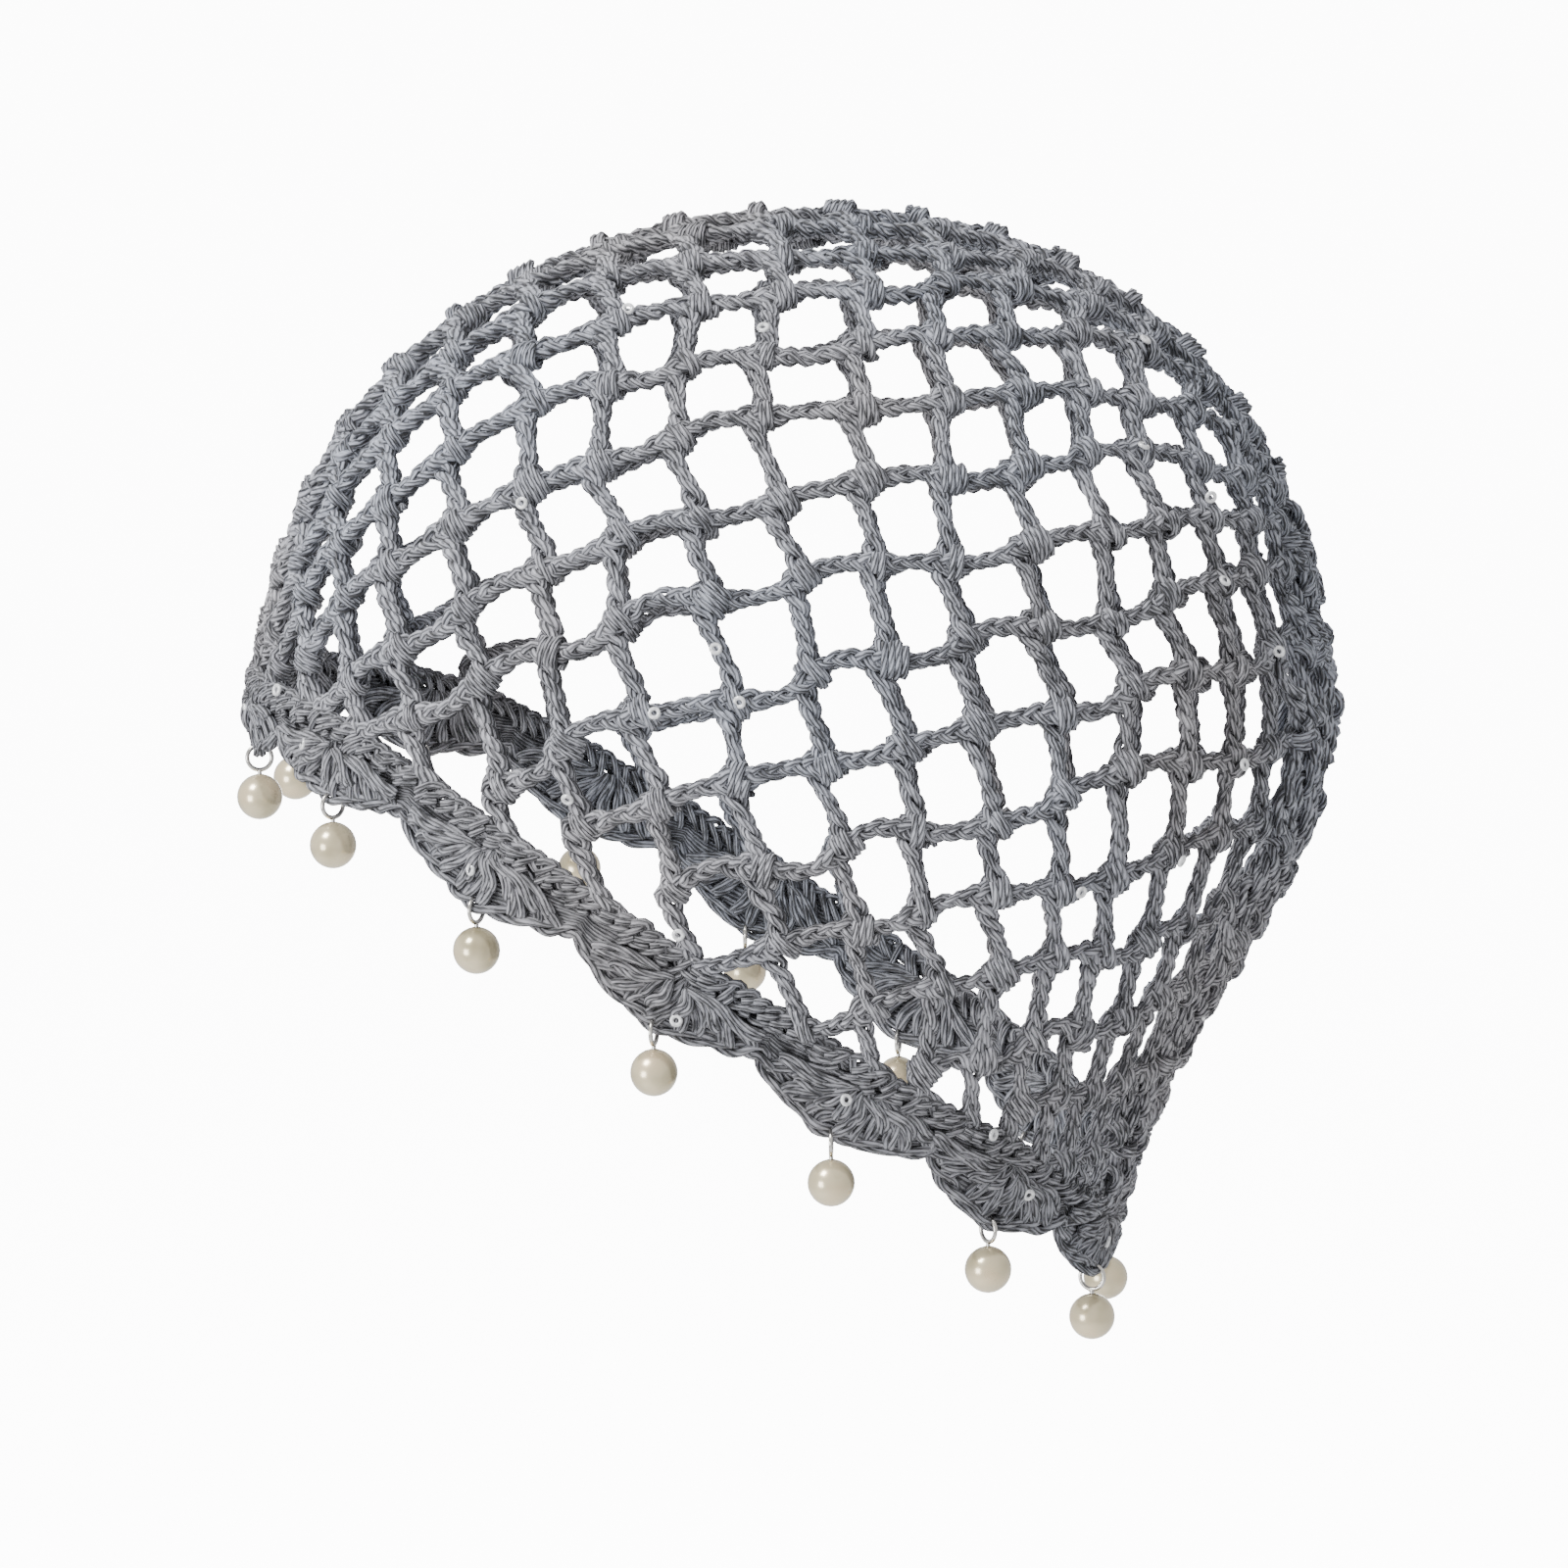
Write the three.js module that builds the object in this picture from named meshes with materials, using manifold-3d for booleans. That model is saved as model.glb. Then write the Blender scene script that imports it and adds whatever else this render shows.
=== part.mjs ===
// Openwork crocheted cap: a net crown, a scalloped shell border and pearl drops on wire loops.
// Millimetres, +Z up, the front of the cap towards -Y and the wearer's left towards +X.
// The origin is the highest point of the crown's inner face, where the cap sits on the head.
import * as THREE from "three";
import { mergeVertices } from "three/addons/utils/BufferGeometryUtils.js";
import Module from "manifold-3d";

const wasm = await Module();
wasm.setup();

const DEGREE = Math.PI / 180;

// The form that the net is stretched over, in the net's own frame. Coronal sections are ellipses that shrink
// towards the front and the back, and the lower part narrows to the neck.
const FORM = { halfLength: 93, halfWidth: 76, height: 82, fullness: 0.93 };
const NAPE = { start: 16, length: 98, inset: 57 };
const NECK = { start: 13, length: 115, inset: 24 };
const NET_TILT = 12 * DEGREE;

// The lower edge of the net: nearly level across the forehead, then straight down to the nape.
const BROW = { height: -19.4, slope: -0.45 };
const RIM = { height: -55, slope: -0.98, rounding: 3, napeFrom: 25, napeDrop: 0.035 };

// The net. Its columns are arches over the head and its rows run from the brow round the back of the head.
// Each gap here stands for about three gaps of the finished net.
const NET = { wall: 4, strand: 6.2, edgeBand: 3, cellStep: 1.86, smallestGap: 30 };
const COLUMNS = { degrees: 8.7, atSide: 4.6, first: -3.7, last: 14.1 };
const ROWS = { toEquator: 8.47, last: 15.6, drop: 15.2, dropEase: 0.33 };
const BROW_LOSS = { from: 4, rate: 0.16, steepFrom: -1, steepRate: 0.35 };
const CROWN_LOSS = { from: 7.2, rate: 0.6, gatherFrom: 11, gatherTo: 14.94, gather: 3.83 };

// The border: a ring of shell stitches with one eyelet at the tip of each scallop.
const BORDER = { gap: 0.35, scallops: 14, setBack: 0.01, valley: 7.2, tip: 13, wallTop: 4, wallTip: 2 };
const EYELET = { aboveTip: 1.7, radius: 1.1 };

// A drop: a wire loop through the eyelet, with its shank fixed in the half-drilled pearl.
const WIRE = { radius: 0.38, loopRadius: 2.15, sides: 5, loopSides: 9 };
const PEARL = { radius: 4, bore: 0.72, boreDepth: 4.4, sides: 10, arcSteps: 7, below: 0.35 };

const YARN = new THREE.MeshStandardMaterial({ color: 0x7b828e, roughness: 0.95, metalness: 0 });
const SHELL_YARN = new THREE.MeshStandardMaterial({ color: 0x737b89, roughness: 0.95, metalness: 0 });
const PEARL_FINISH = new THREE.MeshStandardMaterial({ color: 0xe6e0cf, roughness: 0.25, metalness: 0 });
const SILVER_WIRE = new THREE.MeshStandardMaterial({ color: 0xc4c2bc, roughness: 0.25, metalness: 1 });

const vec = (x, y, z) => new THREE.Vector3(x, y, z);

// 0 above start, 1 below start + length, and smooth between.
function easeDown(z, band) {
  const share = THREE.MathUtils.clamp((-z - band.start) / band.length, 0, 1);
  return 0.5 - 0.5 * Math.cos(Math.PI * share);
}

function backReach(z) {
  return FORM.halfLength - NAPE.inset * easeDown(z, NAPE);
}

function sideReach(z) {
  return FORM.halfWidth - NECK.inset * easeDown(z, NECK);
}

// Below 0 inside the form, above 0 outside it.
function level(p) {
  const reach = p.y > 0 ? backReach(p.z) : FORM.halfLength;
  const rise = p.z > 0 ? (p.z / FORM.height) ** 2 : 0;
  const length = 1 - (p.y / reach) ** 2;
  const section = length > 0 ? length ** FORM.fullness : length;
  return (p.x / sideReach(p.z)) ** 2 + rise - section;
}

// The point where a ray from inside the form leaves it.
function castOut(from, direction) {
  let inner = 0;
  let outer = 200;
  for (let step = 0; step < 40; step += 1) {
    const middle = (inner + outer) / 2;
    if (level(from.clone().addScaledVector(direction, middle)) < 0) inner = middle;
    else outer = middle;
  }
  return from.clone().addScaledVector(direction, (inner + outer) / 2);
}

// The form's point at the height and azimuth of p.
function ontoForm(p) {
  return castOut(vec(0, 0, p.z), vec(p.x, p.y, 0).normalize());
}

function normalAt(p) {
  const h = 0.2;
  const slope = (d) => level(p.clone().add(d)) - level(p.clone().sub(d));
  return vec(slope(vec(h, 0, 0)), slope(vec(0, h, 0)), slope(vec(0, 0, h))).normalize();
}

function lifted(p, height) {
  return p.clone().addScaledVector(normalAt(p), height);
}

// A point of the net on the wearer's left: column number c from brow to back, row number j from the midline.
function netPoint(c, j) {
  const longitude = (c - COLUMNS.atSide) * COLUMNS.degrees * DEGREE;
  const size = Math.max(Math.cos(longitude), 0) ** FORM.fullness;
  const equator = equatorRow(c);
  const lost = lostRows(c);
  if (j <= equator) {
    const turn = (Math.PI / 2) * ((j - lost) / (equator - lost));
    const x = FORM.halfWidth * size * Math.sin(turn);
    return vec(x, FORM.halfLength * Math.sin(longitude), FORM.height * size * Math.cos(turn));
  }
  const past = j - equator;
  const z = -(ROWS.drop * past - ROWS.dropEase * past * past);
  const reach = longitude > 0 ? backReach(z) : FORM.halfLength;
  return vec(sideReach(z) * size, reach * Math.sin(longitude), z);
}

// The row that lies at the form's widest height. Fewer rows fit above it towards the brow.
function equatorRow(c) {
  const brow = BROW_LOSS.rate * Math.max(0, BROW_LOSS.from - c);
  return ROWS.toEquator - brow - BROW_LOSS.steepRate * Math.max(0, BROW_LOSS.steepFrom - c);
}

// The rows that have met those of the other side at the back of the crown.
function lostRows(c) {
  const run = CROWN_LOSS.rate * Math.max(0, c - CROWN_LOSS.from);
  const share = (c - CROWN_LOSS.gatherFrom) / (CROWN_LOSS.gatherTo - CROWN_LOSS.gatherFrom);
  return run + CROWN_LOSS.gather * Math.max(0, share) ** 3;
}

function rimHeight(y) {
  const brow = BROW.height + BROW.slope * y;
  const side = RIM.height + RIM.slope * y - RIM.napeDrop * Math.max(0, y - RIM.napeFrom) ** 2;
  const k = RIM.rounding;
  return -k * Math.log(Math.exp(-side / k) + Math.exp(-brow / k));
}

// The net's edge at an azimuth, 0 at the front and positive towards the wearer's left.
function rimAtAzimuth(azimuth) {
  const out = vec(Math.sin(azimuth), -Math.cos(azimuth), 0);
  let low = -130;
  let high = 60;
  for (let step = 0; step < 40; step += 1) {
    const z = (low + high) / 2;
    const p = castOut(vec(0, 0, z), out);
    if (z < rimHeight(p.y)) low = z;
    else high = z;
  }
  return castOut(vec(0, 0, (low + high) / 2), out);
}

const rimCurve = new THREE.CatmullRomCurve3(
  Array.from({ length: 96 }, (_, i) => rimAtAzimuth((i / 96) * 2 * Math.PI)),
  true,
);
rimCurve.arcLengthDivisions = 960;

// A point of the border at a share of the way round and a depth below the net's edge. The scallops at the
// sides sit a little further back than even spacing would put them.
function borderPoint(share, depth) {
  const shift = BORDER.setBack * Math.sin(2 * Math.PI * share) ** 2;
  const turn = (share + (share < 0.5 ? shift : -shift) + 1) % 1;
  const p = ontoForm(rimCurve.getPointAt(turn));
  const along = rimCurve.getTangentAt(turn);
  const down = along.cross(normalAt(p)).normalize();
  if (down.z > 0) down.negate();
  return ontoForm(p.addScaledVector(down, depth));
}

function scallopDepth(share) {
  const across = (share * BORDER.scallops) % 1;
  const fromBrow = share < 0.5 ? across : 1 - across;
  return BORDER.valley + (BORDER.tip - BORDER.valley) * Math.sin(Math.PI * fromBrow ** 0.85) ** 0.8;
}

function solidOf(geometry) {
  const bare = geometry.clone();
  bare.deleteAttribute("normal");
  bare.deleteAttribute("uv");
  const merged = mergeVertices(bare, 1e-4);
  return new wasm.Manifold(
    new wasm.Mesh({
      numProp: 3,
      vertProperties: new Float32Array(merged.attributes.position.array),
      triVerts: new Uint32Array(merged.index.array),
    }),
  );
}

function geometryOf(solid) {
  const mesh = solid.getMesh();
  const geometry = new THREE.BufferGeometry();
  const flat = new Float32Array(mesh.numVert * 3);
  for (let i = 0; i < mesh.numVert; i += 1) {
    const start = i * mesh.numProp;
    flat.set(mesh.vertProperties.subarray(start, start + 3), i * 3);
  }
  geometry.setAttribute("position", new THREE.BufferAttribute(flat, 3));
  geometry.setIndex(new THREE.BufferAttribute(new Uint32Array(mesh.triVerts), 1));
  geometry.computeVertexNormals();
  return geometry;
}

// A closed surface through a grid of points whose rows close on themselves. The grid's columns close too, when
// the sheet is a ring, or else end in one point each.
function gridGeometry(grid, closesAcross) {
  const rows = grid.length;
  const width = grid[0].length;
  const index = [];
  const last = closesAcross ? rows : rows - 1;
  for (let i = 0; i < last; i += 1) {
    for (let k = 0; k < width; k += 1) {
      const a = i * width + k;
      const b = i * width + ((k + 1) % width);
      const c = ((i + 1) % rows) * width + ((k + 1) % width);
      const d = ((i + 1) % rows) * width + k;
      index.push(a, b, c, a, c, d);
    }
  }
  const geometry = new THREE.BufferGeometry();
  geometry.setFromPoints(grid.flat());
  geometry.setIndex(index);
  return geometry;
}

function withoutFlatFaces(geometry) {
  const merged = mergeVertices(geometry, 1e-4);
  const index = Array.from(merged.index.array);
  const kept = [];
  for (let i = 0; i < index.length; i += 3) {
    const [a, b, c] = index.slice(i, i + 3);
    if (a !== b && b !== c && c !== a) kept.push(a, b, c);
  }
  merged.setIndex(kept);
  return merged;
}

const AZIMUTHS = 28;
const CLIMB_STEPS = 8;

// Points from the net's edge, raised by lift, up to the apex, at a height above the form.
function domeRows(lift, height, steps) {
  const apex = castOut(vec(0, 0, 0), vec(0, 0, 1));
  const rows = [];
  for (let i = 0; i <= steps; i += 1) {
    rows.push(
      Array.from({ length: AZIMUTHS }, (_, k) => {
        const foot = ontoForm(borderPoint(k / AZIMUTHS, -lift));
        const up = foot.clone().normalize().lerp(vec(0, 0, 1), 0);
        const climb = (up.angleTo(vec(0, 0, 1)) * i) / steps;
        const axis = vec(0, 0, 1).cross(up).normalize();
        const direction = up.applyAxisAngle(axis, -climb);
        if (i === steps) return lifted(apex, height);
        return lifted(castOut(vec(0, 0, 0), direction), height);
      }),
    );
  }
  return rows;
}

function netSolid() {
  const outer = domeRows(0, NET.wall / 2, CLIMB_STEPS);
  const inner = domeRows(0, -NET.wall / 2, CLIMB_STEPS);
  const shell = solidOf(withoutFlatFaces(gridGeometry([...outer, ...inner.reverse()], true)));
  return shell.subtract(gapSolid());
}

// All the gaps of the net, kept above its edge band.
function gapSolid() {
  const centre = Array.from({ length: AZIMUTHS }, () => vec(0, 0, 0));
  const dome = domeRows(NET.edgeBand, 3 * NET.wall, CLIMB_STEPS);
  const reach = solidOf(withoutFlatFaces(gridGeometry([centre, ...dome], false)));
  const gaps = [];
  for (let c = COLUMNS.first; c < COLUMNS.last; c += NET.cellStep) {
    for (let j = 0; j < ROWS.last; j += NET.cellStep) {
      const block = gapBlock(c, j);
      const gap = block ? block.intersect(reach) : null;
      if (gap && gap.volume() > NET.smallestGap * 4 * NET.wall) gaps.push(gap, gap.mirror([1, 0, 0]));
    }
  }
  return wasm.Manifold.union(gaps);
}

// One gap: the cell's sides moved in by half a strand, and cut through along its normal. At the back of the
// crown a row ends where it meets the middle line, and its last cell has three sides.
function gapBlock(c, j) {
  const corners = [
    [c, j],
    [c + NET.cellStep, j],
    [c + NET.cellStep, j + NET.cellStep],
    [c, j + NET.cellStep],
  ]
    .map(([a, b]) => netPoint(a, Math.max(b, lostRows(a))))
    .filter((p, i, all) => p.distanceTo(all[(i + all.length - 1) % all.length]) > 1);
  if (corners.length < 3) return null;
  const centre = ontoForm(corners.reduce((sum, p) => sum.add(p), vec(0, 0, 0)).divideScalar(corners.length));
  const normal = normalAt(centre);
  const side = corners[1].clone().sub(corners[0]).normalize();
  const across = normal.clone().cross(side).normalize();
  const along = across.clone().cross(normal).normalize();
  const flat = corners.map((p) => {
    const d = p.clone().sub(centre);
    return new THREE.Vector2(d.dot(along), d.dot(across));
  });
  const outline = insetOutline(flat, NET.strand / 2);
  if (!outline) return null;
  const depth = 4 * NET.wall;
  const block = new THREE.ExtrudeGeometry(new THREE.Shape(outline), { depth, bevelEnabled: false });
  const frame = new THREE.Matrix4().makeBasis(along, across, normal);
  frame.setPosition(centre.clone().addScaledVector(normal, -depth / 2));
  return solidOf(block.applyMatrix4(frame));
}

// An outline of straight sides moved in by a margin, or null where too little is left.
function insetOutline(flat, margin) {
  const count = flat.length;
  const centre = flat.reduce((sum, p) => sum.add(p), new THREE.Vector2()).divideScalar(count);
  const inset = flat.map((p, i) => {
    const toBefore = flat[(i + count - 1) % count].clone().sub(p).normalize();
    const toAfter = flat[(i + 1) % count].clone().sub(p).normalize();
    const reach = margin / Math.max(Math.abs(toBefore.cross(toAfter)), 0.3);
    return p.clone().addScaledVector(toBefore, reach).addScaledVector(toAfter, reach);
  });
  const area = inset.reduce((sum, p, i) => sum + p.cross(inset[(i + 1) % count]), 0) / 2;
  const facing = inset.every((p, i) => p.clone().sub(centre).dot(flat[i].clone().sub(centre)) > 0);
  return Math.abs(area) < NET.smallestGap || !facing ? null : inset;
}

const BORDER_STEPS = 6;

// The border's upper edge runs straight between the same azimuths as the net's own edge.
function upperEdge(share, height) {
  const station = Math.floor(share * AZIMUTHS + 1e-6);
  const ends = [station, station + 1].map((k) => {
    const p = borderPoint((k % AZIMUTHS) / AZIMUTHS, BORDER.gap);
    return lifted(p, height);
  });
  return ends[0].lerp(ends[1], share * AZIMUTHS - station);
}

function borderSolid() {
  const around = BORDER.scallops * BORDER_STEPS;
  const shares = Array.from({ length: around }, (_, k) => k / around);
  const strip = (depthShare, face) =>
    shares.map((share) => {
      if (depthShare === 0) return upperEdge(share, (face * BORDER.wallTop) / 2);
      const depth = BORDER.gap + (scallopDepth(share) - BORDER.gap) * depthShare;
      const wall = THREE.MathUtils.lerp(BORDER.wallTop, BORDER.wallTip, depthShare);
      return lifted(borderPoint(share, depth), (face * wall) / 2);
    });
  const loops = [strip(0, 1), strip(1, 1), strip(1, -1), strip(0, -1)];
  let solid = solidOf(gridGeometry(loops, true));
  if (solid.volume() < 0) solid = solidOf(gridGeometry(loops.reverse(), true));
  for (const tip of tips()) {
    const hole = new THREE.CylinderGeometry(EYELET.radius, EYELET.radius, 4 * BORDER.wallTip, 7);
    const turn = new THREE.Quaternion().setFromUnitVectors(vec(0, 1, 0), tip.axis);
    hole.applyQuaternion(turn).translate(tip.eyelet.x, tip.eyelet.y, tip.eyelet.z);
    solid = solid.subtract(solidOf(hole));
  }
  return solid;
}

// The eyelet of each scallop, and the direction of its hole, which is level in the finished cap.
function tips() {
  return Array.from({ length: BORDER.scallops }, (_, m) => {
    const share = (m + 0.5) / BORDER.scallops;
    const eyelet = borderPoint(share, BORDER.tip - EYELET.aboveTip);
    const level = normalAt(eyelet).applyAxisAngle(vec(1, 0, 0), NET_TILT);
    level.z = 0;
    return { eyelet, axis: level.normalize().applyAxisAngle(vec(1, 0, 0), -NET_TILT) };
  });
}

// The wire of one drop, hanging from the origin along -Z, its loop in the plane of X and Z.
function wireGeometry() {
  const loop = new THREE.TorusGeometry(WIRE.loopRadius, WIRE.radius, WIRE.sides, WIRE.loopSides);
  loop.rotateX(Math.PI / 2).translate(0, 0, -WIRE.loopRadius);
  const top = -2 * WIRE.loopRadius;
  const bottom = pearlHeight() + PEARL.radius - PEARL.boreDepth + 0.3;
  const shank = new THREE.CylinderGeometry(WIRE.radius, WIRE.radius, top - bottom, WIRE.sides);
  shank.rotateX(Math.PI / 2).translate(0, 0, (top + bottom) / 2);
  return geometryOf(solidOf(loop).add(solidOf(shank)));
}

function pearlHeight() {
  return -2 * WIRE.loopRadius - WIRE.radius - PEARL.below - PEARL.radius;
}

function pearlGeometry() {
  const ball = new THREE.SphereGeometry(PEARL.radius, PEARL.sides, PEARL.arcSteps);
  const bore = new THREE.CylinderGeometry(PEARL.bore, PEARL.bore, PEARL.boreDepth + 1, WIRE.sides + 1);
  bore.translate(0, PEARL.radius - (PEARL.boreDepth - 1) / 2, 0);
  const drilled = geometryOf(solidOf(ball).subtract(solidOf(bore)));
  return drilled.rotateX(Math.PI / 2);
}

function namedMesh(name, geometry, material) {
  const mesh = new THREE.Mesh(geometry, material);
  mesh.name = name;
  return mesh;
}

function dropGroup(tip, number) {
  const label = String(number).padStart(2, "0");
  const drop = new THREE.Group();
  drop.position.copy(tip.eyelet);
  drop.rotation.z = Math.atan2(tip.axis.y, tip.axis.x);
  const wire = namedMesh("wire_loop_" + label, wireGeometry(), SILVER_WIRE);
  const pearl = namedMesh("pearl_" + label, pearlGeometry(), PEARL_FINISH);
  pearl.position.z = pearlHeight();
  drop.add(wire, pearl);
  return drop;
}

function tilted(p) {
  return p.clone().applyAxisAngle(vec(1, 0, 0), NET_TILT);
}

// The highest point of the crown's inner face once the net is tilted.
function innerApex() {
  let best = vec(0, 0, -Infinity);
  for (let y = -30; y < 60; y += 0.05) {
    const p = castOut(vec(0, y, 0), vec(0, 0, 1));
    const inner = tilted(lifted(p, -NET.wall / 2));
    if (inner.z > best.z) best = inner;
  }
  return best;
}

const cap = new THREE.Group();
const fabric = new THREE.Group();
fabric.rotation.x = NET_TILT;
fabric.add(namedMesh("net_crown", geometryOf(netSolid()), YARN));
fabric.add(namedMesh("shell_border", geometryOf(borderSolid()), SHELL_YARN));
cap.add(fabric);
tips().forEach((tip, m) => {
  cap.add(dropGroup({ eyelet: tilted(tip.eyelet), axis: tilted(tip.axis) }, m + 1));
});
cap.position.copy(innerApex().negate());

export default cap;
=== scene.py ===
"""An openwork crocheted cap: braided net, knots, shell border, pearl drops and seed beads."""
import math

import bpy
import numpy as np
from mathutils import Matrix, Vector


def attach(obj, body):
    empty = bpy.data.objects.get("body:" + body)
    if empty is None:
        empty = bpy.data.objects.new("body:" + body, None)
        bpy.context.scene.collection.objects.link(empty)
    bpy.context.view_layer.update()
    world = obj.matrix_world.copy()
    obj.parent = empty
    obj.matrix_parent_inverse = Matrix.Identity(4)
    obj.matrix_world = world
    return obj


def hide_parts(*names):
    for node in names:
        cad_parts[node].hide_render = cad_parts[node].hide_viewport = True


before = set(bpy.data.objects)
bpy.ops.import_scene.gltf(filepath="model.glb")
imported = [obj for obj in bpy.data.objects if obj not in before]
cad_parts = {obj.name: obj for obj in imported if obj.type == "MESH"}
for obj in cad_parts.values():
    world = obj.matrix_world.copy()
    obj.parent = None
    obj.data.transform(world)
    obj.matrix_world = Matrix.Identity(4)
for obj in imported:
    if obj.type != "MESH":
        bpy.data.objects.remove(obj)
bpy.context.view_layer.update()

bl_info = {
    "name": "Openwork Crocheted Cap",
    "version": (1, 0, 0),
    "blender": (4, 5, 0),
    "location": "3D View > Sidebar > Cap",
    "description": "Builds an openwork crocheted cap with a scalloped border and pearl drops",
    "category": "Add Mesh",
}

MM = 0.001
NET_TILT = math.radians(12)

# The form that the net is stretched over, in the net's own frame, in millimetres.
HALF_LENGTH = 93.0
HALF_WIDTH = 76.0
HEIGHT = 82.0
FULLNESS = 0.93
NAPE = (16, 98, 57)
NECK = (13, 115, 24)

# The lower edge of the net.
BROW_HEIGHT, BROW_SLOPE = -19.4, -0.45
RIM_HEIGHT, RIM_SLOPE, RIM_ROUNDING = -55.0, -0.98, 3.0
NAPE_FROM, NAPE_DROP = 25.0, 0.035

# The net's columns and rows.
COLUMN_DEGREES, AT_SIDE = 8.7, 4.6
BACK_COLUMN = AT_SIDE + 90 / COLUMN_DEGREES
TO_EQUATOR, DROP, DROP_EASE = 8.47, 15.2, 0.33
BROW_LOSS_FROM, BROW_LOSS_RATE = 4.0, 0.16
BROW_STEEP_FROM, BROW_STEEP_RATE = -1.0, 0.35
CROWN_LOSS_FROM, CROWN_LOSS_RATE = 7.2, 0.6
GATHER_FROM, GATHER = 11.0, 3.83

NET_WALL = 4.0
SCALLOPS = 14
SET_BACK = 0.01
VALLEY, TIP = 7.2, 13.0
EYELET_ABOVE_TIP = 1.7
LOOP_RADIUS, WIRE_RADIUS = 2.15, 0.38
PEARL_RADIUS, PEARL_BELOW, BORE_DEPTH, SHANK_OVER_FLOOR = 4.0, 0.35, 4.4, 0.3
# The height of a pearl's middle under its eyelet.
PEARL_MIDDLE = -(2 * LOOP_RADIUS + WIRE_RADIUS + PEARL_BELOW + PEARL_RADIUS)
SIDES = {"left": 1, "right": -1}
# Where the cap is looked at from: degrees round and up, then metres away and down.
AZIMUTH, ELEVATION, DISTANCE, LOWER = 96.0, 5.5, 1.2, 0.0172
# A row starts where it has this many rows of room above the border.
ROOM_BELOW = 0.42


# The form


def unit(v):
    return v / np.maximum(np.linalg.norm(v, axis=-1, keepdims=True), 1e-12)


def distances(points):
    """How far along a path each of its points lies."""
    return np.concatenate([[0], np.cumsum(np.linalg.norm(np.diff(points, axis=0), axis=1))])


def ease_down(z, start, length):
    share = np.clip((-z - start) / length, 0, 1)
    return 0.5 - 0.5 * np.cos(np.pi * share)


def back_reach(z):
    return HALF_LENGTH - NAPE[2] * ease_down(z, *NAPE[:2])


def side_reach(z):
    return HALF_WIDTH - NECK[2] * ease_down(z, *NECK[:2])


def form_level(p):
    """Below 0 inside the form, above 0 outside it."""
    x, y, z = p[..., 0], p[..., 1], p[..., 2]
    reach = np.where(y > 0, back_reach(z), HALF_LENGTH)
    rise = np.where(z > 0, (z / HEIGHT) ** 2, 0)
    length = 1 - (y / reach) ** 2
    section = np.where(length > 0, np.abs(length) ** FULLNESS, length)
    return (x / side_reach(z)) ** 2 + rise - section


def form_normal(p):
    h = 0.2
    slopes = [form_level(p + h * axis) - form_level(p - h * axis) for axis in np.eye(3)]
    return unit(np.stack(slopes, -1))


def cast_out(start, direction):
    """The points where rays from inside the form leave it."""
    inner = np.zeros(start.shape[:-1])
    outer = inner + 200
    for _ in range(34):
        middle = (inner + outer) / 2
        inside = form_level(start + direction * middle[..., None]) < 0
        inner = np.where(inside, middle, inner)
        outer = np.where(inside, outer, middle)
    return start + direction * inner[..., None]


def onto_form(p):
    level = p * [0, 0, 1]
    return cast_out(level, unit(p - level))


def rim_height(y):
    brow = BROW_HEIGHT + BROW_SLOPE * y
    side = RIM_HEIGHT + RIM_SLOPE * y - NAPE_DROP * np.maximum(0, y - NAPE_FROM) ** 2
    k = RIM_ROUNDING
    return -k * np.log(np.exp(-side / k) + np.exp(-brow / k))


def rim_loop(count=480):
    """The net's edge, from the brow towards the wearer's left and round to the brow again."""
    azimuth = np.arange(count + 1) % count / count * 2 * np.pi
    out = np.stack([np.sin(azimuth), -np.cos(azimuth), 0 * azimuth], -1)
    low, high = 0 * azimuth - 130, 0 * azimuth + 60
    for _ in range(40):
        z = (low + high) / 2
        p = cast_out(z[:, None] * [0, 0, 1], out)
        below = z < rim_height(p[:, 1])
        low, high = np.where(below, z, low), np.where(below, high, z)
    return cast_out(((low + high) / 2)[:, None] * [0, 0, 1], out)


RIM = rim_loop()
RIM_LENGTH = distances(RIM)[-1]
RIM_SHARE = distances(RIM) / RIM_LENGTH


def rim_at(share):
    return np.stack([np.interp(share % 1, RIM_SHARE, RIM[:, k]) for k in range(3)], -1)


def border_point(share, depth):
    """A point of the border at a share of the way round and a depth below the net's edge."""
    share = share % 1
    shift = SET_BACK * np.sin(2 * np.pi * share) ** 2
    turn = share + np.where(share < 0.5, shift, -shift)
    p = onto_form(rim_at(turn))
    along = unit(rim_at(turn + 0.004) - rim_at(turn - 0.004))
    down = unit(np.cross(along, form_normal(p)))
    down = np.where(down[..., 2:] > 0, -down, down)
    return onto_form(p + down * np.asarray(depth)[..., None])


def scallop_depth(share):
    across = share * SCALLOPS % 1
    from_brow = np.where(share % 1 < 0.5, across, 1 - across)
    return VALLEY + (TIP - VALLEY) * np.abs(np.sin(np.pi * from_brow**0.85)) ** 0.8


def yarn_edge(share):
    """The depth that the border's yarn reaches: full at each eyelet, a little less between them."""
    across = share * SCALLOPS % 1
    return scallop_depth(share) - 0.9 * (1 - np.exp(-(((across - 0.5) / 0.12) ** 2)))


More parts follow.
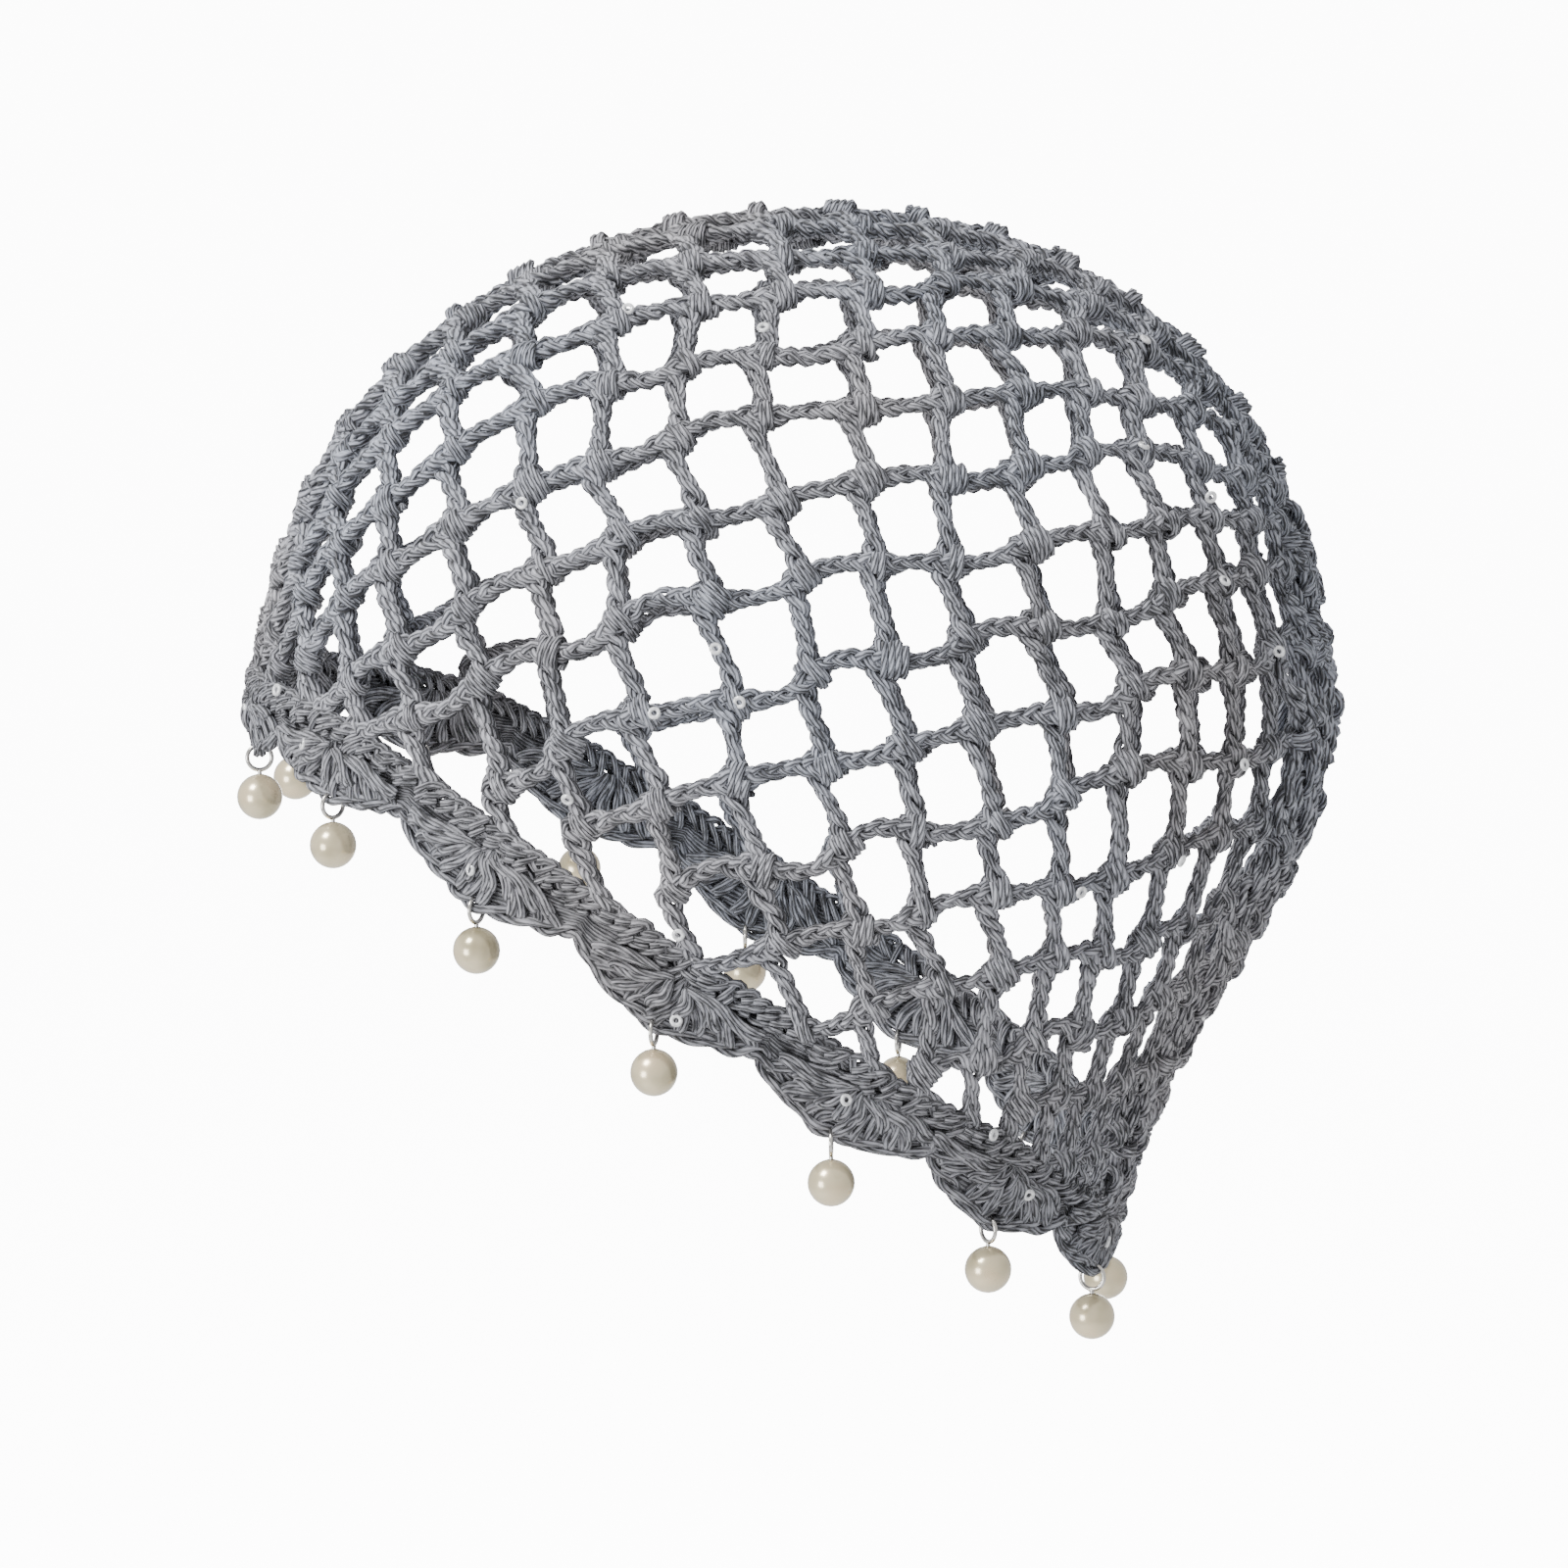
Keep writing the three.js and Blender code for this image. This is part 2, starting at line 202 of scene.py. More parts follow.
def net_point(c, j):
    """The net's point in column c and row j, before the hand's own unevenness."""
    longitude = np.radians((c - AT_SIDE) * COLUMN_DEGREES)
    size = np.maximum(np.cos(longitude), 0) ** FULLNESS
    equator = equator_row(c)
    lost = lost_rows(c)
    turn = np.pi / 2 * (j - lost) / np.maximum(equator - lost, 1e-6)
    across, up = HALF_WIDTH * size * np.sin(turn), HEIGHT * size * np.cos(turn)
    upper = np.stack([across, HALF_LENGTH * np.sin(longitude), up], -1)
    past = np.maximum(j - equator, 0)
    z = -(DROP * past - DROP_EASE * past**2)
    reach = np.where(longitude > 0, back_reach(z), HALF_LENGTH)
    lower = np.stack([side_reach(z) * size, reach * np.sin(longitude), z], -1)
    return np.where((j <= equator)[..., None], upper, lower)


def equator_row(c):
    brow = BROW_LOSS_RATE * np.maximum(0, BROW_LOSS_FROM - c)
    return TO_EQUATOR - brow - BROW_STEEP_RATE * np.maximum(0, BROW_STEEP_FROM - c)


def lost_rows(c):
    share = np.maximum(0, (c - GATHER_FROM) / (BACK_COLUMN - GATHER_FROM))
    return CROWN_LOSS_RATE * np.maximum(0, c - CROWN_LOSS_FROM) + GATHER * share**3


def to_part(p):
    """From the net's frame in millimetres to the part's frame in metres."""
    return (turn_to_part(p) - APEX) * MM


def turn_to_part(v, tilt=NET_TILT):
    c, s = math.cos(tilt), math.sin(tilt)
    return np.stack([v[..., 0], v[..., 1] * c - v[..., 2] * s, v[..., 1] * s + v[..., 2] * c], -1)


def inner_apex():
    y = np.arange(-30, 60, 0.05)
    start = np.stack([0 * y, y, 0 * y], -1)
    p = cast_out(start, np.broadcast_to([0.0, 0.0, 1.0], start.shape))
    inner = turn_to_part(p - form_normal(p) * NET_WALL / 2)
    return inner[np.argmax(inner[:, 2])]


APEX = inner_apex()
# The middle of the form in the part's frame, which the camera looks at.
FORM_MIDDLE = Vector((-APEX * MM).tolist())


def view_axes(azimuth, elevation):
    """The directions towards the viewer, to the viewer's right and up."""
    a, e = math.radians(azimuth), math.radians(elevation)
    back = Vector((math.sin(a) * math.cos(e), -math.cos(a) * math.cos(e), math.sin(e)))
    right = Vector((0, 0, 1)).cross(back).normalized()
    return back, right, back.cross(right)


# The hand's unevenness


class Unevenness:
    """A smooth random field over the net, the same for the rows and the columns that cross there."""

    def __init__(self, seed, amount):
        draw = np.random.default_rng(seed)
        self.grid = draw.uniform(-amount, amount, (2, 26, 24))

    def at(self, c, j):
        a = np.clip(c + 5, 0, 24.999)
        b = np.clip(j + 1, 0, 22.999)
        ia, ib = np.floor(a).astype(int), np.floor(b).astype(int)
        fa, fb = a - ia, b - ib
        fa, fb = fa * fa * (3 - 2 * fa), fb * fb * (3 - 2 * fb)
        g = self.grid
        return (
            g[:, ia, ib] * (1 - fa) * (1 - fb)
            + g[:, ia + 1, ib] * fa * (1 - fb)
            + g[:, ia, ib + 1] * (1 - fa) * fb
            + g[:, ia + 1, ib + 1] * fa * fb
        )


UNEVEN = Unevenness(11, 0.18)
# How far the columns lean with the way down the side, its square, the square of the way across it, and both
# ways together, and how far the rows sag.
LEAN = {"down": -0.21, "curve": 0.22, "across": -0.19, "both": -0.35}
SAG = 0.12


def side_terms(c, j):
    """Where a stitch lies across and down the side, from about -1 to 1."""
    return np.clip((c - 5) / 8, -1.1, 1.15), np.clip((j - 7.5) / 6, -1.1, 1.25)


def left_place(c, j):
    """The column and row where the left half's stitches lie, before the hand's own unevenness."""
    u, v = side_terms(c, j)
    lean = LEAN["down"] * v + LEAN["curve"] * v**2 + LEAN["across"] * u**2 + LEAN["both"] * u * v
    near_middle = np.clip(j / 2.5, 0, 1) * np.clip((BACK_COLUMN - c) / 2.5, 0, 1)
    return c + lean * near_middle, j + SAG * near_middle


def place_on_form(p):
    """The column and row of a point on the left half of the form."""
    x, y, z = p[:, 0], p[:, 1], p[:, 2]
    reach = np.where(y > 0, back_reach(z), HALF_LENGTH)
    c = AT_SIDE + np.degrees(np.arcsin(np.clip(y / reach, -1, 1))) / COLUMN_DEGREES
    equator, lost = equator_row(c), lost_rows(c)
    turn = np.arctan2(x / HALF_WIDTH, z / HEIGHT) / (np.pi / 2)
    past = (DROP - np.sqrt(np.maximum(DROP**2 + 4 * DROP_EASE * np.minimum(z, 0), 0))) / (2 * DROP_EASE)
    return c, np.where(z > 0, lost + turn * (equator - lost), equator + past)


def powers(c, j):
    u, v = side_terms(c, j)
    return np.stack([u**a * v**b for a in range(4) for b in range(4 - a)], -1)


def fit_behind():
    """How far the right half's stitches are moved, in columns and rows, to lie behind the left half's.

    The viewer then sees clear gaps.
    """
    back, right, up = view_axes(AZIMUTH, ELEVATION)
    viewer = np.array((FORM_MIDDLE + back * DISTANCE - up * LOWER)[:]) / MM + APEX
    viewer = turn_to_part(viewer, -NET_TILT)
    c, j = (grid.ravel() for grid in np.meshgrid(np.arange(-3.5, 14.6, 0.5), np.arange(0.5, 16.1, 0.5)))
    p = net_point(*left_place(c, j))
    sight = unit(p - viewer)
    seen = (np.sum(sight * form_normal(p), -1) < -0.15) & (p[:, 2] > rim_height(p[:, 1])) & (p[:, 0] > 2)
    seen &= j > lost_rows(c)
    c, j, p, sight = c[seen], j[seen], p[seen], sight[seen]
    behind = cast_out(p + sight * 4, sight) * [-1, 1, 1]
    met = (behind[:, 0] > 2) & (behind[:, 2] > rim_height(behind[:, 1]) - 3)
    c, j = c[met], j[met]
    there = place_on_form(behind[met])
    terms = powers(c, j)
    return [np.linalg.lstsq(terms, moved, rcond=None)[0] for moved in (there[0] - c, there[1] - j)]


BEHIND = fit_behind()
# The furthest that they are moved, in columns and rows, and how many rows more by the crown's middle.
MOST_COLUMNS, MOST_ROWS, BY_CROWN = (-1.9, 1.0), (-2.2, 1.4), 0.45


def room_to_wander(c, j):
    """Rises from 0 at the middle line to 1 at one and a half stitches from it."""
    return np.clip((j - lost_rows(c)) / 1.5, 0, 1) * np.clip((BACK_COLUMN - c) / 1.5, 0, 1)


def worked_place(side, c, j):
    """The column and row of the form where a stitch really lies."""
    wander = UNEVEN.at(c, j)
    if side == "left":
        there = left_place(c, j)
        room = room_to_wander(c, j)
    else:
        terms = powers(c, j)
        by_crown = BY_CROWN * np.clip((3 - j + lost_rows(c)) / 2.5, 0, 1)
        moved = np.clip(terms @ BEHIND[0], *MOST_COLUMNS), np.clip(terms @ BEHIND[1], *MOST_ROWS)
        there = c + moved[0], j + moved[1] + by_crown
        room = room_to_wander(*there)
    return there[0] + wander[0] * room, there[1] + wander[1] * room


def worked_point(side, c, j):
    """The net's point where the yarn really lies."""
    return net_point(*worked_place(side, c, j))


def sunk(p):
    """How deep the strands are pressed in, in millimetres. Below 0 they are raised, as over the crown."""
    y, z = p[..., 1], p[..., 2]
    brow = np.clip((-y - 60) / 24, 0, 1)
    nape = np.exp(-(((z + 40) / 22) ** 2)) * np.clip((y - 40) / 25, 0, 1)
    high = np.clip(z / 40, 0, 1)
    crown = high * (0.8 * np.exp(-(((y + 40) / 26) ** 2)) - 0.5 * np.exp(-(((y - 25) / 24) ** 2)))
    return 1.5 * brow + 1.6 * nape - crown


# Yarn as meshes


# The step between a strand's points, in millimetres, and the points in one turn of a wrap.
POINT_STEP, WRAP_POINTS = 0.85, 11
# How far a ply drifts from its line, and the length over which it does.
DRIFT, DRIFT_LENGTH = 0.2, 3.5


def evenly(points, step=POINT_STEP):
    """The same path with its points an even step apart, and whatever columns follow x, y and z."""
    lengths = distances(points[:, :3])
    count = max(int(round(lengths[-1] / step)), 3)
    at = np.linspace(0, lengths[-1], count + 1)
    even = np.stack([np.interp(at, lengths, column) for column in points.T], -1)
    return even[:, :3], even[:, 3:]


def lay(path):
    """The ways out of the form and sideways along a path, and how far along it each point lies."""
    normal = form_normal(path)
    for _ in range(2):
        normal[1:-1] = (normal[:-2] + 2 * normal[1:-1] + normal[2:]) / 4
    return normal, unit(np.cross(unit(np.gradient(path, axis=0)), normal)), distances(path)


def new_object(mesh, finish):
    """Puts a smooth mesh into the scene with its material."""
    mesh.polygons.foreach_set("use_smooth", np.ones(len(mesh.polygons), bool))
    mesh.materials.append(material(finish))
    made = bpy.data.objects.new(mesh.name, mesh)
    bpy.context.collection.objects.link(made)
    return made


class Yarn:
    """Collects tubes of yarn and makes one mesh of them, with a UV map that runs round and along each."""

    def __init__(self, seed):
        self.verts, self.faces, self.uvs = [], [], []
        self.start = 0
        self.draw = np.random.default_rng(seed)

    def tube(self, path, radius, hint, sides=5):
        """A closed tube along a path in the net's frame. Its UV map starts a quarter turn from hint."""
        n = len(path)
        tangent = unit(np.gradient(path, axis=0))
        up = unit(hint - tangent * np.sum(hint * tangent, -1, keepdims=True))
        angle = np.arange(sides)[:, None] / sides * 2 * np.pi
        ring = np.cross(tangent, up)[:, None] * np.cos(angle) + up[:, None] * np.sin(angle)
        self.verts.append((path[:, None] + ring * np.broadcast_to(radius, n)[:, None, None]).reshape(-1, 3))
        along = distances(path) / 10 + self.draw.uniform(0, 50)
        i, k = np.arange(n - 1)[:, None], np.arange(sides)
        quads, uvs = [], []
        for ahead, across in ((0, 0), (0, 1), (1, 1), (1, 0)):
            quads.append(self.start + (i + ahead) * sides + (k + across) % sides)
            uvs.append(np.stack(np.broadcast_arrays((k + across) / sides, along[i + ahead]), -1))
        self.faces.append(np.stack(quads, -1).reshape(-1, 4))
        self.uvs.append(np.stack(uvs, -2).reshape(-1, 4, 2))
        for end, turn in ((0, -1), (n - 1, 1)):
            self.cap(self.start + end * sides + k[::turn], along[end])
        self.start += n * sides

    def cap(self, ring, along):
        """A flat end of a tube. Its triangles are kept as quads whose last corner is there twice."""
        m = np.arange(1, len(ring) - 1)
        corners = np.stack([0 * m, m, m + 1, m + 1], -1)
        self.faces.append(ring[corners])
        self.uvs.append(np.stack([corners / len(ring), np.full(corners.shape, along)], -1))

    def wander(self, s, amount):
        """A smooth random drift along a path."""
        at = s / DRIFT_LENGTH
        knots = self.draw.normal(0, amount, (2, int(at[-1]) + 3))
        k = at.astype(int)
        f = at - k
        f = f * f * (3 - 2 * f)
        return knots[:, k] * (1 - f) + knots[:, k + 1] * f

    def braid(self, path, half_width, half_depth, radius, pitch, phase, lift):
        """Three plies that cross over and under each other along a path."""
        normal, side, s = lay(path)
        for ply in range(3):
            turn = 2 * np.pi * (s / pitch + phase + ply / 3)
            swell = 1 + 0.08 * np.sin(turn * 0.37 + self.draw.uniform(0, 6))
            drift = self.wander(s, DRIFT)
            offset = side * (half_width * np.sin(turn) * swell + drift[0])[:, None]
            offset = offset + normal * (half_depth * np.sin(2 * turn) + lift + drift[1])[:, None]
            thick = radius * (1 + 0.12 * np.cos(2 * turn + 0.6)) * self.draw.uniform(0.92, 1.08)
            self.tube(path + offset, thick, normal)

    def cord(self, path, width, radius, pitch, phase, lift, plies=3, swell=1.0, drifting=DRIFT):
        """Plies that twist round each other along a path."""
        normal, side, s = lay(path)
        for ply in range(plies):
            turn = 2 * np.pi * (s / pitch + phase + ply / plies) + 0.5 * np.sin(s * 0.31 + phase * 9)
            drift = self.wander(s, drifting)
            offset = side * (width * swell * np.cos(turn) + drift[0])[:, None]
            offset = offset + normal * (0.72 * width * np.sin(turn) + lift + drift[1])[:, None]
            thick = radius * (1 + 0.12 * np.sin(turn * 0.7 + ply)) * self.draw.uniform(0.92, 1.08)
            self.tube(path + offset, thick, normal)

    def coil(self, centre, axis, normal, turns, pitch, wide, deep, radius, phase):
        """Yarn wrapped round an axis."""
        side = unit(np.cross(axis, normal))
        t = np.linspace(-turns / 2, turns / 2, int(turns * WRAP_POINTS) + 1)[:, None]
        across, out = side * np.cos(2 * np.pi * (t + phase)), normal * np.sin(2 * np.pi * (t + phase))
        self.tube(centre + axis * t * pitch + wide * across + deep * out, radius, across + out)

    def wrap(self, draw, kind, centre, axis, normal, radius):
        """Yarn wrapped round an axis, with the chance of one kind of wrap."""
        turns, wide = draw.choice(kind["turns"]), draw.uniform(*kind["wide"])
        self.coil(centre, axis, normal, turns, kind["pitch"], wide, kind["deep"], radius, draw.uniform())

    def piece(self, name, finish, node):
        """Makes one mesh of all the yarn, in the place of a node of the solid part."""
        if not self.verts:
            raise RuntimeError("No yarn was worked for " + name)
        quads, uvs = np.vstack(self.faces), np.vstack(self.uvs)
        kept = np.ones(quads.shape, bool)
        kept[:, 3] = quads[:, 2] != quads[:, 3]
        corners = kept.sum(1)
        mesh = bpy.data.meshes.new(name)
        mesh.vertices.add(self.start)
        mesh.vertices.foreach_set("co", to_part(np.vstack(self.verts)).astype(np.float32).ravel())
        mesh.loops.add(int(corners.sum()))
        mesh.loops.foreach_set("vertex_index", quads[kept].astype(np.int32))
        mesh.polygons.add(len(quads))
        mesh.polygons.foreach_set("loop_start", (np.cumsum(corners) - corners).astype(np.int32))
        mesh.uv_layers.new(name="UVMap").data.foreach_set("uv", uvs[kept].astype(np.float32).ravel())
        mesh.update(calc_edges=True)
        mesh.validate()
        finish_piece(new_object(mesh, finish), "yarn", node)


# Materials


class Socket:
    """A shader socket whose arithmetic adds Math nodes."""

    def __init__(self, finish, socket):
        self.finish, self.socket = finish, socket

    def also(self, output):
        """Another output of the same node."""
        return Socket(self.finish, self.socket.node.outputs[output])

    def __add__(self, other):
        return self.finish.maths("ADD", self, other)

    def __radd__(self, other):
        return self.finish.maths("ADD", other, self)

    def __sub__(self, other):
        return self.finish.maths("SUBTRACT", self, other)

    def __rsub__(self, other):
        return self.finish.maths("SUBTRACT", other, self)

    def __mul__(self, other):
        return self.finish.maths("MULTIPLY", self, other)

    def __rmul__(self, other):
        return self.finish.maths("MULTIPLY", other, self)

    def __truediv__(self, other):
        return self.finish.maths("DIVIDE", self, other)

    def __rtruediv__(self, other):
        return self.finish.maths("DIVIDE", other, self)


NOISE, RAMP = "ShaderNodeTexNoise", "ShaderNodeValToRGB"


class Finish:
    """A material and its nodes."""

    def __init__(self, name):
        self.material = bpy.data.materials.new(name)
        self.material.use_nodes = True
        self.tree = self.material.node_tree
        self.tree.nodes.clear()
        self.shader = self.tree.nodes.new("ShaderNodeBsdfPrincipled")
        out = self.tree.nodes.new("ShaderNodeOutputMaterial")
        self.tree.links.new(self.shader.outputs[0], out.inputs["Surface"])

    def node(self, kind, settings=None, inputs=None, output=0):
        """A node of any type, with its settings and the values or links of its sockets."""
        made = self.tree.nodes.new(kind)
        for name, value in (settings or {}).items():
            if name == "stops":
                self._set_stops(made.color_ramp, value)
            else:
                setattr(made, name, value)
        for key, value in (inputs or {}).items():
            self._feed(made.inputs[key], value)
        return Socket(self, made.outputs[output])

    def _set_stops(self, ramp, stops):
        while len(ramp.elements) < len(stops):
            ramp.elements.new(0.5)
        for element, (place, colour) in zip(ramp.elements, stops):
            element.position = place
            element.color = (*colour, 1)

    def _feed(self, target, value):
        if isinstance(value, Socket):
            self.tree.links.new(value.socket, target)
        else:
            target.default_value = value

    def set(self, **values):
        for name, value in values.items():
            self._feed(self.shader.inputs[name.replace("_", " ")], value)

    def maths(self, operation, *values):
        return self.node("ShaderNodeMath", {"operation": operation}, dict(enumerate(values)))

    def noise_here(self, scale, detail):
        """A noise over the Object coordinates."""
        place = self.node("ShaderNodeTexCoord").also("Object")
        return self.node(NOISE, inputs={"Vector": place, "Scale": scale, "Detail": detail})


# The threads that show side by side on a ply of yarn.
THREADS = 6


def yarn_finish(name, tones, painted_shade_factor, twist):
    """Marled cotton yarn: slightly twisted threads and light fibres, with painted shade in the grooves
    between the threads and along each ply's sides.
    """
    # Both tones are scaled by the yarn's brightness, which for the border's yarn is painted shade.
    dark, light = (tuple(painted_shade_factor * a for a in tone) for tone in (tones.yarn_dark, tones.yarn_light))
    yarn = Finish(name)
    uv = yarn.node("ShaderNodeUVMap", {"uv_map": "UVMap"})
    around = yarn.node("ShaderNodeSeparateXYZ", inputs={0: uv})
    along = around.also(1)
    turn = (around + along * twist) * (2 * math.pi)
    wobble = yarn.node(NOISE, {"noise_dimensions": "1D"}, {"W": along * 1.1, "Scale": 1.0, "Detail": 1.0})
    # Painted shade: the thread pattern darkens the narrow grooves between the threads in the colour, and
    # raises the threads in the bump.
    thread = yarn.maths("ABSOLUTE", yarn.maths("SINE", turn * (THREADS / 2) + (wobble - 0.5) * 5.0))
    # Painted shade: each ply is darkened along its two sides, where it meets the plies beside it.
    flank_shade = yarn.maths("MAXIMUM", yarn.maths("COSINE", around * (4 * math.pi)), 0.0)
    across, out = (yarn.maths(wave, turn) * 2.0 for wave in ("COSINE", "SINE"))
    ring = yarn.node("ShaderNodeCombineXYZ", inputs={0: across, 1: out, 2: along * 1.5})
    fibre = yarn.node(NOISE, inputs={"Vector": ring, "Scale": 3.6, "Detail": 2.5, "Roughness": 0.6})
    marl = yarn.node(NOISE, {"noise_dimensions": "1D"}, {"W": along * 2.6, "Scale": 1.0, "Detail": 2.0})
    patch, dyed = yarn.noise_here(38.0, 2.0), yarn.noise_here(17.0, 1.0)
    # The grooves and the ply sides add painted shade to the tone; the fibres, marl and patches are the yarn's
    # own uneven tone.
    shade = (fibre - 0.5) * 2.4 + thread * 0.8 - flank_shade * 0.32
    shade = shade + (marl - 0.5) * 1.5 + (patch - 0.5) * 0.45 + 0.1
    middle = tuple(a * 0.5 + b * 0.38 for a, b in zip(dark, light))
    colour = yarn.node(RAMP, {"stops": [(0.16, dark), (0.5, middle), (0.88, light)]}, {0: shade})
    bluer, greyer = (0.93, 0.98, 1.02), (1.02, 0.99, 0.94)
    tint = yarn.node(RAMP, {"stops": [(0.36, bluer), (0.64, greyer)]}, {0: dyed})
    multiply = {"data_type": "RGBA", "blend_type": "MULTIPLY"}
    tinted = yarn.node("ShaderNodeMix", multiply, {0: 1.0, 6: colour, 7: tint}, output=2)
    relief = {"Strength": 1.0, "Distance": 0.0004, "Height": thread * 2.0 + fibre * 1.3}
    yarn.set(Base_Color=tinted, Normal=yarn.node("ShaderNodeBump", inputs=relief), Roughness=0.95)
    yarn.set(Sheen_Weight=0.2, Sheen_Roughness=0.6, Specular_IOR_Level=0.2)
    return yarn.material


def pearl_finish(name, tones):
    pearl = Finish(name)
    # Painted reflection and shade: a large noise clouds each pearl with darker olive and with rose patches,
    # partly the pearl's own orient and partly painted reflections of the floor and room.
    reflection_and_orient = pearl.noise_here(150.0, 2.0)
    rose_reflection_and_orient = tuple(a * b for a, b in zip(tones.pearl, (1.12, 1.04, 1.0)))
    olive_reflection_and_orient = tuple(a * b for a, b in zip(tones.pearl, (0.66, 0.66, 0.6)))
    tint = pearl.node(RAMP, {"stops": [(0.3, olive_reflection_and_orient), (0.5, tones.pearl), (0.72, rose_reflection_and_orient)]}, {0: reflection_and_orient})
    pearl.set(Base_Color=tint, Roughness=(reflection_and_orient - 0.5) * 0.16 + 0.25)
    pearl.set(Metallic=0.5, Coat_Weight=1.0, Coat_Roughness=0.1, Specular_IOR_Level=0.6)
    return pearl.material


def wire_finish(name, tones):
    wire = Finish(name)
    wear = wire.noise_here(900.0, 2.0)
    worn = tuple(0.75 * a for a in tones.wire)
    tone = wire.node(RAMP, {"stops": [(0.3, worn), (0.7, tones.wire)]}, {0: wear})
    wire.set(Base_Color=tone, Roughness=(wear - 0.5) * 0.2 + 0.2, Metallic=1.0)
    return wire.material


def bead_finish(name, tones):
    bead = Finish(name)
    # Painted glints: a fine noise speckles each bead with its white tone and a darker silver-lined tone, a
    # painted sparkle of the beads' own silver lining.
    glint = bead.noise_here(1500.0, 1.0)
    lined = tuple(0.6 * a for a in tones.bead)
    tone = bead.node(RAMP, {"stops": [(0.3, lined), (0.6, tones.bead)]}, {0: glint})
    bead.set(Base_Color=tone, Roughness=(glint - 0.5) * 0.2 + 0.14)
    bead.set(Metallic=0.1, Coat_Weight=1.0, Coat_Roughness=0.03)
    return bead.material


# How each material is made. A yarn's numbers are its brightness and its twist; the shell yarn's lower
# brightness is painted shade for the border low on the cap.
MATERIALS = {
    "net yarn": (yarn_finish, 1.0, 0.8),
    "shell yarn": (yarn_finish, 0.8, 0.4),
    "pearl coating": (pearl_finish,),
    "silver wire": (wire_finish,),
    "silver-lined glass": (bead_finish,),
}


def material(name):
    """The material of that name, which is made when it is first asked for."""
    make, *values = MATERIALS[name]
    return bpy.data.materials.get(name) or make(name, bpy.context.scene.cap_colours, *values)


def finish_piece(made, slot, *nodes):
    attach(made, "root")
    if nodes:
        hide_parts(*nodes)


def face_outward():
    """Turns all faces of the active object outward, and leaves it in Object Mode."""
    bpy.ops.object.mode_set(mode="EDIT")
    bpy.ops.mesh.select_all(action="SELECT")
    bpy.ops.mesh.normals_make_consistent(inside=False)
    bpy.ops.object.mode_set(mode="OBJECT")


def clear_selection():
    if bpy.context.object and bpy.context.object.mode != "OBJECT":
        bpy.ops.object.mode_set(mode="OBJECT")
    bpy.ops.object.select_all(action="DESELECT")


# Settings


def amount(name, description, default, unit="NONE"):
    return bpy.props.FloatProperty(name=name, description=description, default=default, unit=unit)


def dye(name, description, default):
    return bpy.props.FloatVectorProperty(name=name, description=description, default=default, subtype="COLOR")


class CapSizes(bpy.types.PropertyGroup):
    ply: amount("Ply", "Thickness of one ply of yarn", 1.64 * MM, "LENGTH")
    row_width: amount("Row width", "Width of a row's braid", 3.7 * MM, "LENGTH")
    column_width: amount("Column width", "Width of a column's cord", 3.55 * MM, "LENGTH")
    posts: bpy.props.IntProperty(name="Posts", description="Loops in one shell of the border", default=11)


class CapColours(bpy.types.PropertyGroup):
    # The dark fibre colour also serves as the painted shade in the yarn's grooves and along the plies' sides.
    yarn_dark: dye("Dark fibre", "Colour between the fibres", (0.03, 0.031, 0.042))
    yarn_light: dye("Light fibre", "Colour of the lightest fibres", (0.62, 0.625, 0.70))
    pearl: dye("Pearl", "Colour of the pearls", (0.75, 0.645, 0.425))
    wire: dye("Wire", "Colour of the wire loops", (0.75, 0.73, 0.69))
    bead: dye("Bead", "Colour of the seed beads", (0.95, 0.96, 0.98))


class StageSettings(bpy.types.PropertyGroup):
    azimuth: amount("Azimuth", "Camera azimuth in degrees", AZIMUTH)
    elevation: amount("Elevation", "Camera elevation in degrees", ELEVATION)
    distance: amount("Distance", "From the camera to the middle of the cap", DISTANCE, "LENGTH")
    lower: amount("Lower", "How far the camera is moved down", LOWER, "LENGTH")
    lens: amount("Lens", "Focal length in millimetres", 156.6)
    floor: amount("Floor", "Height of the floor", -0.95, "LENGTH")
    behind: amount("Backdrop", "How far behind the cap the backdrop stands", 3.0, "LENGTH")
    glow: amount("Glow", "Brightness of the backdrop", 11.0)
    sky: amount("Sky", "Brightness all round", 0.85)
    key: amount("Key light", "Power of the main light", 29.0, "POWER")
    low_light: amount("Low light", "Power of the light at the cap's height", 8.0, "POWER")


def ply_radius(context):
    """Half the thickness of one ply, in millimetres."""
    return context.scene.cap_sizes.ply / MM / 2


# The net


ROW_COUNT = 17
COLUMN_STARTS = np.arange(-3.5, 16.6, 1.0)
# How far a strand runs before its plies lie the same way again, and how high its middle lies over the form.
ROW_PITCH, COLUMN_PITCH, MIDDLE_PITCH, FOLD_PITCH = 8.2, 8.4, 10.5, 8.5
ROW_LIFT, COLUMN_LIFT, MIDDLE_LIFT = 0.35, -0.1, 0.45
# How much wider the strands are at their crossings, and how far a column steps aside from row to row.
ROW_SWELL, COLUMN_SWELL, JOG = 0.18, 0.38, 0.2
# The yarn that wraps crossings, the middle strand and the back's folds: the turns that it may have, its least
# and greatest half width, the step from turn to turn and its half depth, in millimetres.
KNOT = {"turns": (1.8, 2.4, 3.0, 3.5), "wide": (2.0, 2.8), "pitch": 1.15, "deep": 1.85}
MIDDLE_WRAP = {"turns": (2.0, 2.7, 3.4), "wide": (2.4, 3.2), "pitch": 1.25, "deep": 2.2}
FOLD_WRAP = {"turns": (1.8, 2.4, 3.0), "wide": (1.8, 2.6), "pitch": 1.2, "deep": 1.9}
# The folds, in columns from the middle of the back, and the wraps on each side of it.
FOLDS, FOLD_WRAPS = (0.4, 1.0, 1.6, 2.2), 40


